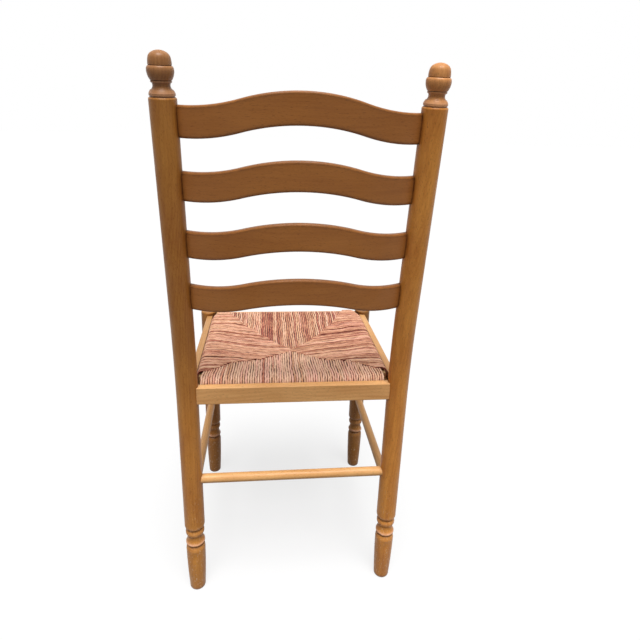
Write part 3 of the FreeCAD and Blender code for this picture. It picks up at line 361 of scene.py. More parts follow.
def wood_material(name, light, dark, axis, offset, figure, surface=LACQUERED, gloss=0.3, bow=0.0,
                  shares=(1.0, 1.0), depth=0.3, reach=0.010, edge=None, edge_reach=0.009, worn=0.0,
                  worn_below=2.0):
    """Satin lacquered or bare wood with its grain along an axis. The offset gives each piece its own grain.

    The figure is how clearly the rings show. The bow is how far the grain's middle stands out towards +Y
    over the length of the slats. The shares make a piece lighter or darker at its low and high end, partly
    as its own tone and partly as painted shade. The strength of the crevice shade is how strongly painted
    shade darkens grooves, joints and inside corners, over the reach. The edge share is how strongly outside
    edges take the edge colour, over the edge_reach and up to a given height; on posts, legs and finials that
    colour is a painted highlight.
    """
    wood = bpy.context.scene.chair_wood
    roughness, relief, coat = surface
    material, sheet = new_material(name)
    place = sheet.add("ShaderNodeTexCoord").outputs["Object"]
    parts = sheet.add("ShaderNodeSeparateXYZ", {"Vector": place}).outputs
    first, second, third = GRAIN_AXES[axis]
    along = sheet.math("DIVIDE", parts["X"], SLAT_REACH)
    straightened = sheet.math("MULTIPLY_ADD", sheet.math("MULTIPLY", along, along), bow, parts["Y"])
    spots = {"X": parts["X"], "Y": straightened, "Z": parts["Z"]}
    turned = sheet.add("ShaderNodeCombineXYZ", {"X": spots[first], "Y": spots[second], "Z": spots[third]})
    own = sheet.vector("ADD", turned.outputs[0], offset)
    grain = sheet.group(wood_grain_group(), own, Figure=figure)
    wear = sheet.group(soft_wear_group(), place)
    share = sheet.spread(parts["Z"], SHADE_LOW, SHADE_HIGH, *shares)
    colour = sheet.mix(grain["Tone"], linear(dark), linear(light))
    colour = sheet.add("ShaderNodeVectorMath", {0: colour, "Scale": share}, operation="SCALE").outputs[0]
    pore_share = sheet.math("MULTIPLY", grain["Pores"], PORE_SHARE)
    colour = sheet.mix(pore_share, colour, linear([c * PORE_SHADE for c in dark]))
    scuff_share = sheet.math("MULTIPLY", wear["Scuffs"], SCUFF_SHARE)
    colour = sheet.mix(scuff_share, colour, linear(wood.scuffed))
    # Outside edges take the edge colour: a painted highlight on posts, legs and finials, and a darker edge on
    # the slats.
    crests = sheet.group(outside_edges_group(), place, Reach=edge_reach)
    low_down = sheet.spread(parts["Z"], worn_below, worn_below + EDGE_COLOUR_FADE, 1.0, 0.0)
    crest_share = sheet.math("MULTIPLY", sheet.math("MULTIPLY", crests["Share"], worn), low_down)
    colour = sheet.mix(crest_share, colour, linear(edge or dark))
    # Painted shade: grooves, joints and inside corners go towards a dark colour.
    gathered = sheet.group(crevice_shade_group(), place, Reach=reach)
    colour = sheet.mix(sheet.math("MULTIPLY", gathered["Share"], depth), colour, linear(wood.painted_crevice_shade))
    rough = sheet.math("MULTIPLY_ADD", wear["Rubbed"], RUBBED_ROUGHNESS, roughness)
    rough = sheet.math("MULTIPLY_ADD", grain["Pores"], PORE_ROUGHNESS, rough)
    bump = sheet.add("ShaderNodeBump", {
        "Strength": relief, "Distance": RELIEF_DEPTH, "Height": grain["Height"]})
    shader = sheet.add("ShaderNodeBsdfPrincipled", {
        "Base Color": colour, "Roughness": rough, "Normal": bump.outputs["Normal"],
        "Specular IOR Level": gloss, "Coat Weight": coat, "Coat Roughness": COAT_ROUGHNESS,
    })
    sheet.add("ShaderNodeOutputMaterial", {"Surface": shader.outputs["BSDF"]})
    return material


def finish_node(node, material):
    """Give a CAD piece its finish in every material slot."""
    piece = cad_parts[node]
    piece.data.materials.clear()
    piece.data.materials.append(material)


def piece_offset(number):
    """Where in the timber a piece was cut."""
    return (0.37 * number, 0.23 * number, 0.71 * number)


# How light a piece is at its low and high end, where it differs from the rest. This is partly the timber's
# own tone and partly painted shade: the front legs darken upwards into painted shade under the seat, and the
# right stretcher is darkened as painted shade.
TONE_AND_PAINTED_SHADE = {
    "back_post_left": (1.0, 0.78), "back_post_right": (1.18, 1.18),
    "finial_left": (0.74, 0.74), "finial_right": (1.3, 1.3),
    "front_leg_left": (0.8, 0.58), "front_leg_right": (0.66, 0.36),
    "seat_rail_left": (0.72, 0.72), "seat_rail_right": (0.85, 0.85), "stretcher_right": (0.8, 0.8),
}


def finish_group(nodes, axes, light, dark, start, **looks):
    """Finish pieces of one kind of wood. The start tells their cuts of timber from those of other groups."""
    for number, (node, axis) in enumerate(zip(nodes, axes), start=start):
        material = wood_material(f"{node}_wood", light, dark, axis, piece_offset(number),
                                 shares=TONE_AND_PAINTED_SHADE.get(node, (1.0, 1.0)), **looks)
        finish_node(node, material)


class CHAIR_OT_uprights(bpy.types.Operator):
    """Lacquered wood on the back posts and front legs"""
    bl_idname = "chair.uprights"
    bl_label = "Finish posts and legs"

    def execute(self, context):
        wood = context.scene.chair_wood
        # The pale edge colour paints a highlight on the feet's beads, and the dark crevice colour paints
        # shade in their grooves.
        finish_group(UPRIGHTS, "ZZZZ", wood.post_light, wood.post_dark, 1, figure=0.12, gloss=wood.gloss,
                     depth=0.9, reach=0.014, edge=wood.rubbed_and_highlight, worn=1.0, worn_below=CREST_HIGHLIGHT_TOP)
        return {"FINISHED"}


class CHAIR_OT_finials(bpy.types.Operator):
    """Lacquered wood on the two turned finials"""
    bl_idname = "chair.finials"
    bl_label = "Finish finials"

    def execute(self, context):
        wood = context.scene.chair_wood
        # The pale edge colour paints a highlight on the finials' beads and rims.
        finish_group(FINIALS, "ZZ", wood.finial_light, wood.finial_dark, 11, figure=0.2, gloss=wood.gloss,
                     depth=0.95, reach=0.022, edge=wood.rubbed_and_highlight, worn=0.45)
        return {"FINISHED"}


class CHAIR_OT_slats(bpy.types.Operator):
    """Lacquered, softly figured wood on the four back slats"""
    bl_idname = "chair.slats"
    bl_label = "Finish slats"

    def execute(self, context):
        wood = context.scene.chair_wood
        finish_group(SLATS, "XXXX", wood.slat_light, wood.slat_dark, 21, figure=0.1, gloss=wood.gloss,
                     bow=SLAT_BOW, edge=wood.slat_edge, edge_reach=0.008, worn=1.0)
        return {"FINISHED"}


class CHAIR_OT_rails(bpy.types.Operator):
    """Pale lacquered wood on the seat rails and stretchers"""
    bl_idname = "chair.rails"
    bl_label = "Finish rails and stretchers"

    def execute(self, context):
        wood = context.scene.chair_wood
        finish_group(RAILS, "XXYY", wood.rail_light, wood.rail_dark, 31, figure=0.2, gloss=wood.gloss)
        finish_group(STRETCHERS, "XXYY", wood.rail_light, wood.rail_dark, 41, figure=0.2, gloss=wood.gloss)
        return {"FINISHED"}


class CHAIR_OT_under_seat(bpy.types.Operator):
    """Bare wood on the seat's sticks and corner blocks, and plated steel on the screws"""
    bl_idname = "chair.under_seat"
    bl_label = "Finish hidden parts"

    def execute(self, context):
        wood = context.scene.chair_wood
        finish_group(SEAT_STICKS, "XXYY", wood.bare_light, wood.bare_dark, 51, figure=0.3, surface=BARE)
        finish_group(CORNER_BLOCKS, "XXXX", wood.bare_light, wood.bare_dark, 61, figure=0.3, surface=BARE)
        steel = plated_steel()
        for node in SCREWS:
            finish_node(node, steel)
        return {"FINISHED"}


STEEL_DULL = (0.36, 0.35, 0.32, 1.0)
STEEL_BRIGHT = (0.58, 0.57, 0.54, 1.0)


def plated_steel():
    """Zinc plating in dull and bright patches."""
    material, sheet = new_material("plated_steel")
    place = sheet.add("ShaderNodeTexCoord").outputs["Object"]
    patches = sheet.noise(place, 300.0, 3.0).outputs["Fac"]
    colour = sheet.mix(patches, STEEL_DULL, STEEL_BRIGHT)
    rough = sheet.spread(patches, 0.2, 0.8, 0.28, 0.5)
    shader = sheet.add("ShaderNodeBsdfPrincipled", {
        "Base Color": colour, "Roughness": rough, "Metallic": 1.0})
    sheet.add("ShaderNodeOutputMaterial", {"Surface": shader.outputs["BSDF"]})
    return material


# The weave, in millimetres: x to the sitter's left, y back from the axes of the back posts' feet, z up.
BACK_AXIS_MM = (POST_LOW.y + (POST_HIGH.x - POST_LOW.x) / 2) / MM
SEAT_X_MM = SEAT_HIGH.x / MM
SEAT_BACK_MM = SEAT_HIGH.y / MM - BACK_AXIS_MM
SEAT_FRONT_MM = SEAT_LOW.y / MM - BACK_AXIS_MM
SEAT_TOP_MM = SEAT_HIGH.z / MM
SEAT_BOTTOM_MM = SEAT_LOW.z / MM
DISH_MIDDLE_MM = (SEAT_BACK_MM + SEAT_FRONT_MM) / 2
DISH_DEPTH_MM = 11.0
DISH_RADIUS_MM = 160.0
# How far in from the edge a cord runs flat, and how square its roll over the stick is: 1 is round.
ROLL_DEPTH_MM = 14.0
ROLL_POINTS = 11
ROLL_POWER = 0.8
# The usual distance between points of a cord where it runs flat.
STEP_MM = 7
# How far a cord's ends run on under their neighbours, and how far they go down from the top or up from below.
TUCK_MM = 2.5
TUCK_DOWN_MM = 5.5
TUCK_UP_MM = 4.0
# The seat is drawn in at its front corners.
CORNER_X_MM = 12.0
CORNER_Y_MM = 35.0
# How far from its ends a cord carries painted shade from the cords that lie over it.
END_SHADE_MM = 5.0
# Each cord takes its fibres from another stretch of the pattern.
FIBRE_START_MM = 200.0
# How cords differ in thickness, and how much one cord swells and thins along its length.
THINNEST, THICKEST = 0.93, 1.05
SWELL = 0.07
SWELL_WAVES = 0.12
WOBBLE_WAVES = 0.7
# The four triangles of the seat, each with its own drift and tones.
SWAY_GROUPS = {"left": 1, "right": 2, "rear": 3, "front": 4}
# Waves per millimetre across and along the cords, for how they drift together and for a finer ripple.
DRIFT_WAVES = (0.014, 0.011)
RIPPLE_WAVES = (0.05, 0.035)
# Waves per millimetre along the edge, for broad bands of tone and for how striped a stretch is.
BAND_WAVES = 0.03
STRIPE_WAVES = 0.02
BAND_TONE = 0.10
STRIPE_VARIETY = 1.2
DARKEST_TONE = 0.62
# Ranges for the random draws of a bunch of two or three side cords, and how the side cords lean.
BUNCH_SHIFT_MM = (-0.8, 0.8)
BUNCH_LIFT_MM = (-0.7, 0.6)
BUNCH_REACH_MM = (1.5, 7.0)
# How much deeper the first cord of a bunch lies, in millimetres, and how much darker it is as painted shade
# between bunches.
BUNCH_EDGE_SHADE = (0.0, 0.35)
SIDE_BASE_TONE = 0.26
SIDE_TONE_DRAW = 0.04
SIDE_LEAN = 0.10
SIDE_SWAY_FROM_MM = 40
SIDE_SHORTEST_MM = 20.0
# A side cord reaches no further than this short of the seat's middle line.
SIDE_STOP_MM = 4
# Draws of a single side cord within its bunch.
CORD_LIFT_MM = (-0.2, 0.2)
CORD_TONE_DRAW = 0.08
# End cords lie lower than side cords, and may stop short of the seam by up to these gaps.
END_LIFT_MM = (-0.6, 0.3)
END_SINK_MM = 1.2
# How much painted shade an end cord carries at its ends, where the side cords lie over it.
END_SHADE = (0.2, 1.4)
# The rear cords are paler than the others as painted light, against the shade on the back of the seat.
END_TONE_AND_PAINTED_LIGHT = {"rear": 0.03, "front": 0.36}
END_TONE_DRAW = 0.16
# How far past the corner points of the seams the end cords start.
END_MORE_MM = {"rear": 0.0, "front": 12.0}
END_SWAY_FROM_MM = 30
END_SWAY_SHARE = 0.5
# How much of its way out a cord at the corner draws in towards the middle, for each millimetre inwards.
END_GATHER = 0.03
END_GATHER_AT_MM = 170
END_SHORTEST_MM, END_LONGEST_MM = 16.0, 230
SEAM_GAPS_MM = {
    ("left", "front"): 2.0, ("right", "front"): 2.0,
    ("left", "rear"): 5.0, ("right", "rear"): 10.0,
}
# The seams' points, from each corner to the middle.
SEAMS = {
    ("left", "front"): ((152.0, -349.0), (110.5, -273.0), (60.0, -212.0), (28.0, -172.0), (1.0, -147.0)),
    ("left", "rear"): ((171.0, -40.0), (117.6, -77.0), (68.0, -97.0), (28.0, -126.0), (1.0, -145.0)),
    ("right", "front"): ((-146.0, -349.0), (-108.0, -267.0), (-62.0, -207.0), (-30.0, -170.0),
                         (-1.0, -147.0)),
    ("right", "rear"): ((-168.0, -38.0), (-119.0, -72.0), (-72.0, -91.0), (-29.0, -124.0), (-1.0, -145.0)),
}


def seam_crossing(side, end, along_x, fixed):
    """Where a seam crosses a cord: the cord's x for a y, or its y for an x."""
    points = np.array(SEAMS[side, end])
    source, target = (points[:, 1], points[:, 0]) if along_x else (points[:, 0], points[:, 1])
    order = np.argsort(source)
    return float(np.interp(fixed, source[order], target[order]))


def dish(x, y):
    """How far the seat's top sinks at x, y."""
    away = math.hypot(x, y - DISH_MIDDLE_MM) / DISH_RADIUS_MM
    return DISH_DEPTH_MM * max(0.0, 1.0 - away * away)


def edge_x(y):
    """How far out the seat reaches at y, drawn in at the front corners."""
    front = SEAT_FRONT_MM + CORNER_Y_MM
    if y < front:
        return SEAT_X_MM - CORNER_X_MM * (front - y) / CORNER_Y_MM
    return SEAT_X_MM


class Weave:
    """Lays the cords of the seat and gathers them in one mesh."""

    SIDES = 8  # of a cord

    def __init__(self, settings):
        self.settings = settings
        self.radius = settings.thickness / MM / 2
        self.rng = np.random.default_rng(settings.seed)
        self.points = []
        self.faces = []
        self.lengths = []
        self.tones = []

    def sway(self, across, along, group):
        """Sideways drift shared by neighbouring cords, so that they wander together."""
        seed = self.settings.seed
        place = Vector((across * DRIFT_WAVES[0], along * DRIFT_WAVES[1], 7.3 * group + seed))
        ripple = Vector((across * RIPPLE_WAVES[0], along * RIPPLE_WAVES[1], 3.9 * group + seed))
        return (noise.noise(place) * 2 + noise.noise(ripple)) * self.settings.sway / MM

    def cord(self, place_at, reach, tone, lift, end_shade):
        """One cord over the edge. place_at(s) gives x, y at s millimetres in from the edge, up to reach."""
        radius = self.radius * self.rng.uniform(THINNEST, THICKEST)
        middle = (SEAT_TOP_MM + SEAT_BOTTOM_MM) / 2
        rise = (SEAT_TOP_MM - SEAT_BOTTOM_MM) / 2 - radius
        phase = self.rng.uniform(0, 100)
        path = []
        roll = min(ROLL_DEPTH_MM, reach)
        steps = max(2, int((reach - roll) / STEP_MM))
        for step in range(steps, 0, -1):
            s = roll + (reach - roll) * step / steps
            x, y = place_at(s)
            path.append((x, y, SEAT_TOP_MM - dish(x, y) - radius + lift))
        x, y = place_at(reach + TUCK_MM)
        path.insert(0, (x, y, path[0][2] - TUCK_DOWN_MM))
        for turn in np.linspace(90, -90, ROLL_POINTS):
            angle = math.radians(turn)
            width = abs(math.cos(angle)) ** ROLL_POWER
            height = math.copysign(abs(math.sin(angle)) ** ROLL_POWER, angle)
            s = roll - (roll - radius) * width
            x, y = place_at(s)
            top = dish(x, y) if height > 0 else 0.0
            path.append((x, y, middle + rise * height - top * height + (lift if height > 0 else 0.0)))
        for step in range(1, steps + 1):
            s = roll + (reach - roll) * step / steps
            x, y = place_at(s)
            path.append((x, y, SEAT_BOTTOM_MM + radius))
        x, y = place_at(reach + TUCK_MM)
        path.append((x, y, SEAT_BOTTOM_MM + radius + TUCK_UP_MM))
        line = np.array(path)
        wobble = self.settings.wobble / MM
        for index, point in enumerate(line):
            turns = [noise.noise(Vector((phase, index * WOBBLE_WAVES, axis))) for axis in (0.0, 9.0)]
            point[:2] += [turn * wobble for turn in turns]
        self.sweep(line, radius, tone, phase, end_shade)

    def sweep(self, line, radius, tone, phase, end_shade):
        """Sweep a ring of points along a line. A cord has painted shade at its two ends, where others lie
        over it.
        """
        ahead = np.gradient(line, axis=0)
        ahead /= np.linalg.norm(ahead, axis=1)[:, None]
        steps = np.linalg.norm(np.diff(line, axis=0), axis=1)
        along = np.concatenate([[0.0], np.cumsum(steps)])
        fibre_start = phase * FIBRE_START_MM
        from_end = np.minimum(along, along[-1] - along)
        darker = end_shade * np.exp(-from_end / END_SHADE_MM)
        first = len(self.points)
        side = np.cross(ahead[0], (0.0, 0.0, 1.0))
        if np.linalg.norm(side) < 0.1:
            side = np.array((ahead[0][1], -ahead[0][0], 0.0))
        for index, (centre, direction) in enumerate(zip(line, ahead)):
            side = side - direction * np.dot(side, direction)
            side /= np.linalg.norm(side)
            up = np.cross(side, direction)
            swell = 1.0 + SWELL * noise.noise(Vector((phase, along[index] * SWELL_WAVES, 3.0)))
            for corner in range(self.SIDES):
                angle = 2 * math.pi * corner / self.SIDES
                ring = side * math.cos(angle) + up * math.sin(angle)
                self.points.append(centre + ring * radius * swell)
                self.tones.append(tone + darker[index])
        for index in range(len(line) - 1):
            for corner in range(self.SIDES):
                following = (corner + 1) % self.SIDES
                near, far = first + index * self.SIDES, first + (index + 1) * self.SIDES
                self.faces.append((near + corner, near + following, far + following, far + corner))
                low, high = fibre_start + along[index], fibre_start + along[index + 1]
                turn = (corner / self.SIDES, (corner + 1) / self.SIDES)
                self.lengths += [(low, turn[0]), (low, turn[1]), (high, turn[1]), (high, turn[0])]
        last = first + (len(line) - 1) * self.SIDES
        for start, backwards in ((first, True), (last, False)):
            cap = [start + corner for corner in range(self.SIDES)]
            self.faces.append(tuple(reversed(cap)) if backwards else tuple(cap))
            self.lengths += [(0.0, 0.0)] * self.SIDES

    def tone(self, place, group, base, draw):
        """How dark a cord is, from 0 for straw to 1 for dark: a faint broad band, plus its own draw.

        The draw grows and shrinks along the edge, so that some stretches are even and others are striped.
        """
        seed = self.settings.seed
        band = noise.noise(Vector((place * BAND_WAVES, 4.1 * group, 0.5 + seed)))
        stripes = 1.0 + STRIPE_VARIETY * noise.noise(Vector((place * STRIPE_WAVES, 9.7 * group, 2.5 + seed)))
        own = self.rng.normal(0, draw) * stripes
        return float(np.clip(base + band * BAND_TONE + own, 0.0, DARKEST_TONE))

    def mesh(self, name):
        mesh = bpy.data.meshes.new(name)
        points = np.array(self.points)
        points[:, 1] += BACK_AXIS_MM
        mesh.from_pydata((points * MM).tolist(), [], self.faces)
        mesh.polygons.foreach_set("use_smooth", [len(face) == 4 for face in self.faces])
        layer = mesh.uv_layers.new(name="cord")
        flat = np.array(self.lengths)
        flat[:, 0] *= MM
        layer.data.foreach_set("uv", flat.ravel())
        tones = mesh.attributes.new("tone", "FLOAT", "POINT")
        tones.data.foreach_set("value", self.tones)
        mesh.update()
        return mesh


def side_cords(weave, side):
    """Cords that cross a side stick and run in along x."""
    sign = 1 if side == "left" else -1
    pitch = weave.settings.pitch / MM
    first, last = SEAT_FRONT_MM + weave.radius, SEAMS[side, "rear"][0][1] - weave.radius
    count = round((last - first) / pitch)
    group = SWAY_GROUPS[side]
    bunch_end = -1
    for number in range(count + 1):
        y0 = first + (last - first) * number / count
        if number > bunch_end:
            bunch_end = number + weave.rng.integers(1, 3)
            bunch_shift = weave.rng.uniform(*BUNCH_SHIFT_MM)
            bunch_lift = weave.rng.uniform(*BUNCH_LIFT_MM)
            bunch_tone = weave.tone(y0, group, SIDE_BASE_TONE, SIDE_TONE_DRAW)
            bunch_reach = weave.rng.uniform(*BUNCH_REACH_MM)
            # the first cord of a bunch lies a little deeper, and is darker as painted shade in the gap
            # between bunches
            edge_depth_and_shade = weave.rng.uniform(*BUNCH_EDGE_SHADE)
        else:
            edge_depth_and_shade = 0.0
        y0 += bunch_shift
        x0 = edge_x(y0)
        lean = SIDE_LEAN * math.sin(math.pi * number / count)

        def place_at(s, y0=y0, x0=x0, lean=lean):
            inside = max(0.0, s - ROLL_DEPTH_MM)
            y = y0 + lean * inside + weave.sway(y0, s, group) * min(1.0, inside / SIDE_SWAY_FROM_MM)
            return sign * (x0 - s), y

        reach = SIDE_SHORTEST_MM
        while reach < x0 - SIDE_STOP_MM:
            x, y = place_at(reach)
            end = "front" if y < SEAMS[side, "front"][-1][1] else "rear"
            if abs(x) <= abs(seam_crossing(side, end, True, y)) + 0.5:
                break
            reach += 1.0
        lift = bunch_lift + weave.rng.uniform(*CORD_LIFT_MM)
        tone = min(1.0, max(0.0, bunch_tone + edge_depth_and_shade + weave.rng.normal(0, CORD_TONE_DRAW)))
        weave.cord(place_at, reach + bunch_reach, tone, lift - edge_depth_and_shade, 0.0)


def end_cords(weave, end):
    """Cords that cross the front or rear stick and run in along y."""
    pitch = weave.settings.pitch / MM
    high = SEAMS["left", end][0][0] + END_MORE_MM[end]
    low = SEAMS["right", end][0][0] - END_MORE_MM[end]
    edge, inward = (SEAT_BACK_MM, -1) if end == "rear" else (SEAT_FRONT_MM, 1)
    count = round((high - low) / pitch)
    group = SWAY_GROUPS[end]
    for number in range(count + 1):
        x0 = low + (high - low) * number / count

        def place_at(s, x0=x0):
            inside = max(0.0, s - ROLL_DEPTH_MM)
            sway = weave.sway(x0, s, group) * END_SWAY_SHARE * min(1.0, inside / END_SWAY_FROM_MM)
            return x0 - END_GATHER * inside * x0 / END_GATHER_AT_MM + sway, edge + inward * s

        reach = END_SHORTEST_MM
        while reach < END_LONGEST_MM:
            x, y = place_at(reach)
            side = "left" if x > 0 else "right"
            seam = seam_crossing(side, end, False, x)
            if (y - seam) * inward > 0:
                break
            reach += 1.0
        lift = weave.rng.uniform(*END_LIFT_MM) - END_SINK_MM
        end_shade = weave.rng.uniform(*END_SHADE)
        gap = weave.rng.uniform(0.0, SEAM_GAPS_MM[side, end])
        tone = weave.tone(x0, group, END_TONE_AND_PAINTED_LIGHT[end], END_TONE_DRAW)
        weave.cord(place_at, max(END_SHORTEST_MM, reach - gap), tone, lift, end_shade)


# Waves per metre along a cord and round it, and how strongly each pattern shades the rush.
FIBRE_WAVES = (90.0, 9.0, 1.0)
STRETCH_WAVES = (28.0, 0.0, 0.0)
BLUSH_WAVES = (3.0, 0.0, 0.0)
FIBRE_SHADE = 1.0
BLOTCH_SHADE = 0.3
STRETCH_SHADE = 0.9
# FURROW_SHADE is painted shade in the furrows of the twist.
FURROW_SHADE = 0.15
# Where straw, tan, red brown and dark lie on the way from pale to dark.
TONE_STOPS = (0.0, 0.35, 0.7, 1.0)


def rush_material(settings):
    """Twisted rush: a tone for each cord, streaks along it, and painted shade in the furrows of its twist and
    where cords touch.
    """
    material, sheet = new_material("rush_cord")
    tone = sheet.add("ShaderNodeAttribute", attribute_name="tone", attribute_type="GEOMETRY").outputs["Fac"]
    cord = sheet.add("ShaderNodeUVMap", uv_map="cord").outputs["UV"]
    parts = sheet.add("ShaderNodeSeparateXYZ", {"Vector": cord}).outputs
    turns = sheet.math("DIVIDE", parts["X"], settings.twist_length)
    around = sheet.math("MULTIPLY_ADD", parts["Y"], 2.0, turns)
    ply = sheet.math("ABSOLUTE", sheet.math("SINE", sheet.math("MULTIPLY", around, math.pi)))
    painted_furrow_shade = sheet.math("SUBTRACT", 1.0, sheet.spread(ply, 0.0, 0.45))
    # Painted shade on the sides of a cord, where it lies against its neighbours.
    sideways = sheet.math("ABSOLUTE", sheet.math("COSINE", sheet.math("MULTIPLY", parts["Y"], 2 * math.pi)))
    painted_side_shade = sheet.spread(sideways, 0.5, 1.0)
    place = sheet.add("ShaderNodeTexCoord").outputs["Object"]
    fibres = sheet.noise(sheet.vector("MULTIPLY", cord, FIBRE_WAVES), 3.0, 4.0, 0.6).outputs["Fac"]
    blotches = sheet.noise(place, 70.0, 3.0, 0.6).outputs["Fac"]
    stretches = sheet.noise(sheet.vector("MULTIPLY", cord, STRETCH_WAVES), 1.0, 2.0).outputs["Fac"]
    shade = tone
    for pattern, strength in ((fibres, FIBRE_SHADE), (blotches, BLOTCH_SHADE), (stretches, STRETCH_SHADE)):
        shade = sheet.math("MULTIPLY_ADD", sheet.math("SUBTRACT", pattern, 0.5), strength, shade)
    shade = sheet.math("MULTIPLY_ADD", painted_furrow_shade, FURROW_SHADE, shade)
    painted_contact_shade = sheet.math("MULTIPLY", painted_side_shade, sheet.spread(stretches, 0.35, 0.65, 0.4, 1.0))
    shade = sheet.math("ADD", painted_contact_shade, shade, clamp=True)
    ramp = sheet.add("ShaderNodeValToRGB", {"Fac": shade})
    elements = ramp.color_ramp.elements
    while len(elements) < len(TONE_STOPS):
        elements.new(0.5)
    colours = (settings.straw, settings.tan, settings.red_brown, settings.dark)
    for element, stop, colour in zip(elements, TONE_STOPS, colours):
        element.position = stop
        element.color = linear(colour)
    blushing = sheet.noise(sheet.vector("MULTIPLY", cord, BLUSH_WAVES), 1.0, 1.0).outputs["Fac"]
    blushing = sheet.spread(blushing, 0.42, 0.62)
    colour = sheet.mix(blushing, ramp.outputs["Color"], linear(settings.blush), "MULTIPLY")
    height = sheet.math("MULTIPLY_ADD", fibres, 0.3, ply)
    bump = sheet.add("ShaderNodeBump", {"Strength": 0.6, "Distance": 0.0006, "Height": height})
    rough = sheet.math("MULTIPLY_ADD", fibres, 0.2, 0.6)
    shader = sheet.add("ShaderNodeBsdfPrincipled", {
        "Base Color": colour, "Roughness": rough, "Normal": bump.outputs["Normal"],
        "Specular IOR Level": 0.25, "Sheen Weight": 0.1, "Sheen Roughness": 0.5,
    })
    sheet.add("ShaderNodeOutputMaterial", {"Surface": shader.outputs["BSDF"]})
    return material


# The stuffing is darker than the darkest cords, as painted shade between cords.
PACKING_SHADE = 0.6
PACKING_CELLS = 36
PACKING_X_MM = 150.0
PACKING_INSET_MM = 34.0
PACKING_UNDER_TOP_MM = 6.5
PACKING_OVER_BOTTOM_MM = 5.5


def packing_material(settings):
    """Stuffing between the layers of cords; its dark colour is painted shade where it shows between cords."""
    material, sheet = new_material("rush_packing")
    place = sheet.add("ShaderNodeTexCoord").outputs["Object"]
    fibres = sheet.noise(sheet.vector("MULTIPLY", place, (1.0, 0.2, 1.0)), 400.0, 3.0).outputs["Fac"]
    colour = sheet.mix(fibres, linear([c * PACKING_SHADE for c in settings.dark]), linear(settings.dark))
    bump = sheet.add("ShaderNodeBump", {"Strength": 0.8, "Distance": 0.001, "Height": fibres})
    shader = sheet.add("ShaderNodeBsdfPrincipled", {"Base Color": colour, "Roughness": 0.9,
                                                    "Normal": bump.outputs["Normal"]})
    sheet.add("ShaderNodeOutputMaterial", {"Surface": shader.outputs["BSDF"]})
    return material


def packing_mesh():
    """A closed lens of stuffing that lies between the upper and lower cords, inside the sticks."""
    cells = PACKING_CELLS
    left, right = -PACKING_X_MM, PACKING_X_MM
    rear, front = SEAT_BACK_MM - PACKING_INSET_MM, SEAT_FRONT_MM + PACKING_INSET_MM
    points = []
    for top in (True, False):
        for row in range(cells + 1):
            for column in range(cells + 1):
                x = left + (right - left) * column / cells
                y = front + (rear - front) * row / cells
                if top:
                    z = SEAT_TOP_MM - dish(x, y) - PACKING_UNDER_TOP_MM
                else:
                    z = SEAT_BOTTOM_MM + PACKING_OVER_BOTTOM_MM
                points.append((x * MM, (y + BACK_AXIS_MM) * MM, z * MM))
    width = cells + 1
    layer = width * width
    faces = []
    for row in range(cells):
        for column in range(cells):
            start = row * width + column
            faces.append((start, start + 1, start + width + 1, start + width))
            under = start + layer
            faces.append((under + width, under + width + 1, under + 1, under))
    rim = list(range(cells))
    rim += [row * width + cells for row in range(cells)]
    rim += [cells * width + cells - column for column in range(cells)]
    rim += [(cells - row) * width for row in range(cells)]
    for here, after in zip(rim, rim[1:] + rim[:1]):
        faces.append((here + layer, after + layer, after, here))
    mesh = bpy.data.meshes.new("rush_packing")
    mesh.from_pydata(points, [], faces)
    mesh.update()
    return mesh


def add_piece(name, mesh, material):
    """Add a mesh to the chair, where it rides on the chair's one body."""
    piece = bpy.data.objects.new(name, mesh)
    bpy.context.scene.collection.objects.link(piece)
    mesh.materials.append(material)
    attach(piece, "root")
    return piece


class CHAIR_OT_rush_seat(bpy.types.Operator):
    """Wind the rush seat cord by cord over its sticks"""
    bl_idname = "chair.rush_seat"
    bl_label = "Weave rush seat"

    def execute(self, context):
        settings = context.scene.chair_rush
        weave = Weave(settings)
        for side in ("left", "right"):
            side_cords(weave, side)
        for end in ("rear", "front"):
            end_cords(weave, end)
        cords = add_piece("rush_cords", weave.mesh("rush_cords"), rush_material(settings))
        packing = add_piece("rush_packing", packing_mesh(), packing_material(settings))
        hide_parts("rush_seat")
        if not cords.data.polygons or not packing.data.polygons:
            raise RuntimeError("the rush seat has no cords")
        return {"FINISHED"}


# The photograph's view, as worked out from the chair. CAMERA_Y counts from the axes of the back posts' feet.
CAMERA_SENSOR_MM = 36.0
CAMERA_LENS_MM = 26.9306
CAMERA_SHIFT = (0.0073, -0.0647)
CAMERA_NEAR = 0.01
CAMERA_RIGHT = (-0.99479, 0.0977, 0.02925)
CAMERA_UP = (-0.00145, -0.30033, 0.95383)
CAMERA_X, CAMERA_Y, CAMERA_Z = 0.05225, 0.78450, 0.91725


def camera():
    """Behind the chair, a little below the top of its back, looking down at it."""
    data = bpy.data.cameras.new("camera")
    data.sensor_width = CAMERA_SENSOR_MM
    data.lens = CAMERA_LENS_MM
    data.shift_x, data.shift_y = CAMERA_SHIFT
    data.clip_start = CAMERA_NEAR
    view = bpy.data.objects.new("camera", data)
    right, up = Vector(CAMERA_RIGHT), Vector(CAMERA_UP)
    back = right.cross(up).normalized()
    up = back.cross(right).normalized()
    turn = Matrix((right, up, back)).transposed().to_4x4()
    view.matrix_world = Matrix.Translation((CAMERA_X, CAMERA_Y + BACK_AXIS_MM * MM, CAMERA_Z)) @ turn
    bpy.context.scene.collection.objects.link(view)
    bpy.context.scene.camera = view


def seen_directly(sheet):
    """1 for what the camera, a reflection or clear glass sees, and 0 for what only lights the chair."""
    path = sheet.add("ShaderNodeLightPath").outputs
    glossy = sheet.math("MAXIMUM", path["Is Camera Ray"], path["Is Glossy Ray"])
    return sheet.math("MAXIMUM", glossy, path["Is Transmission Ray"])


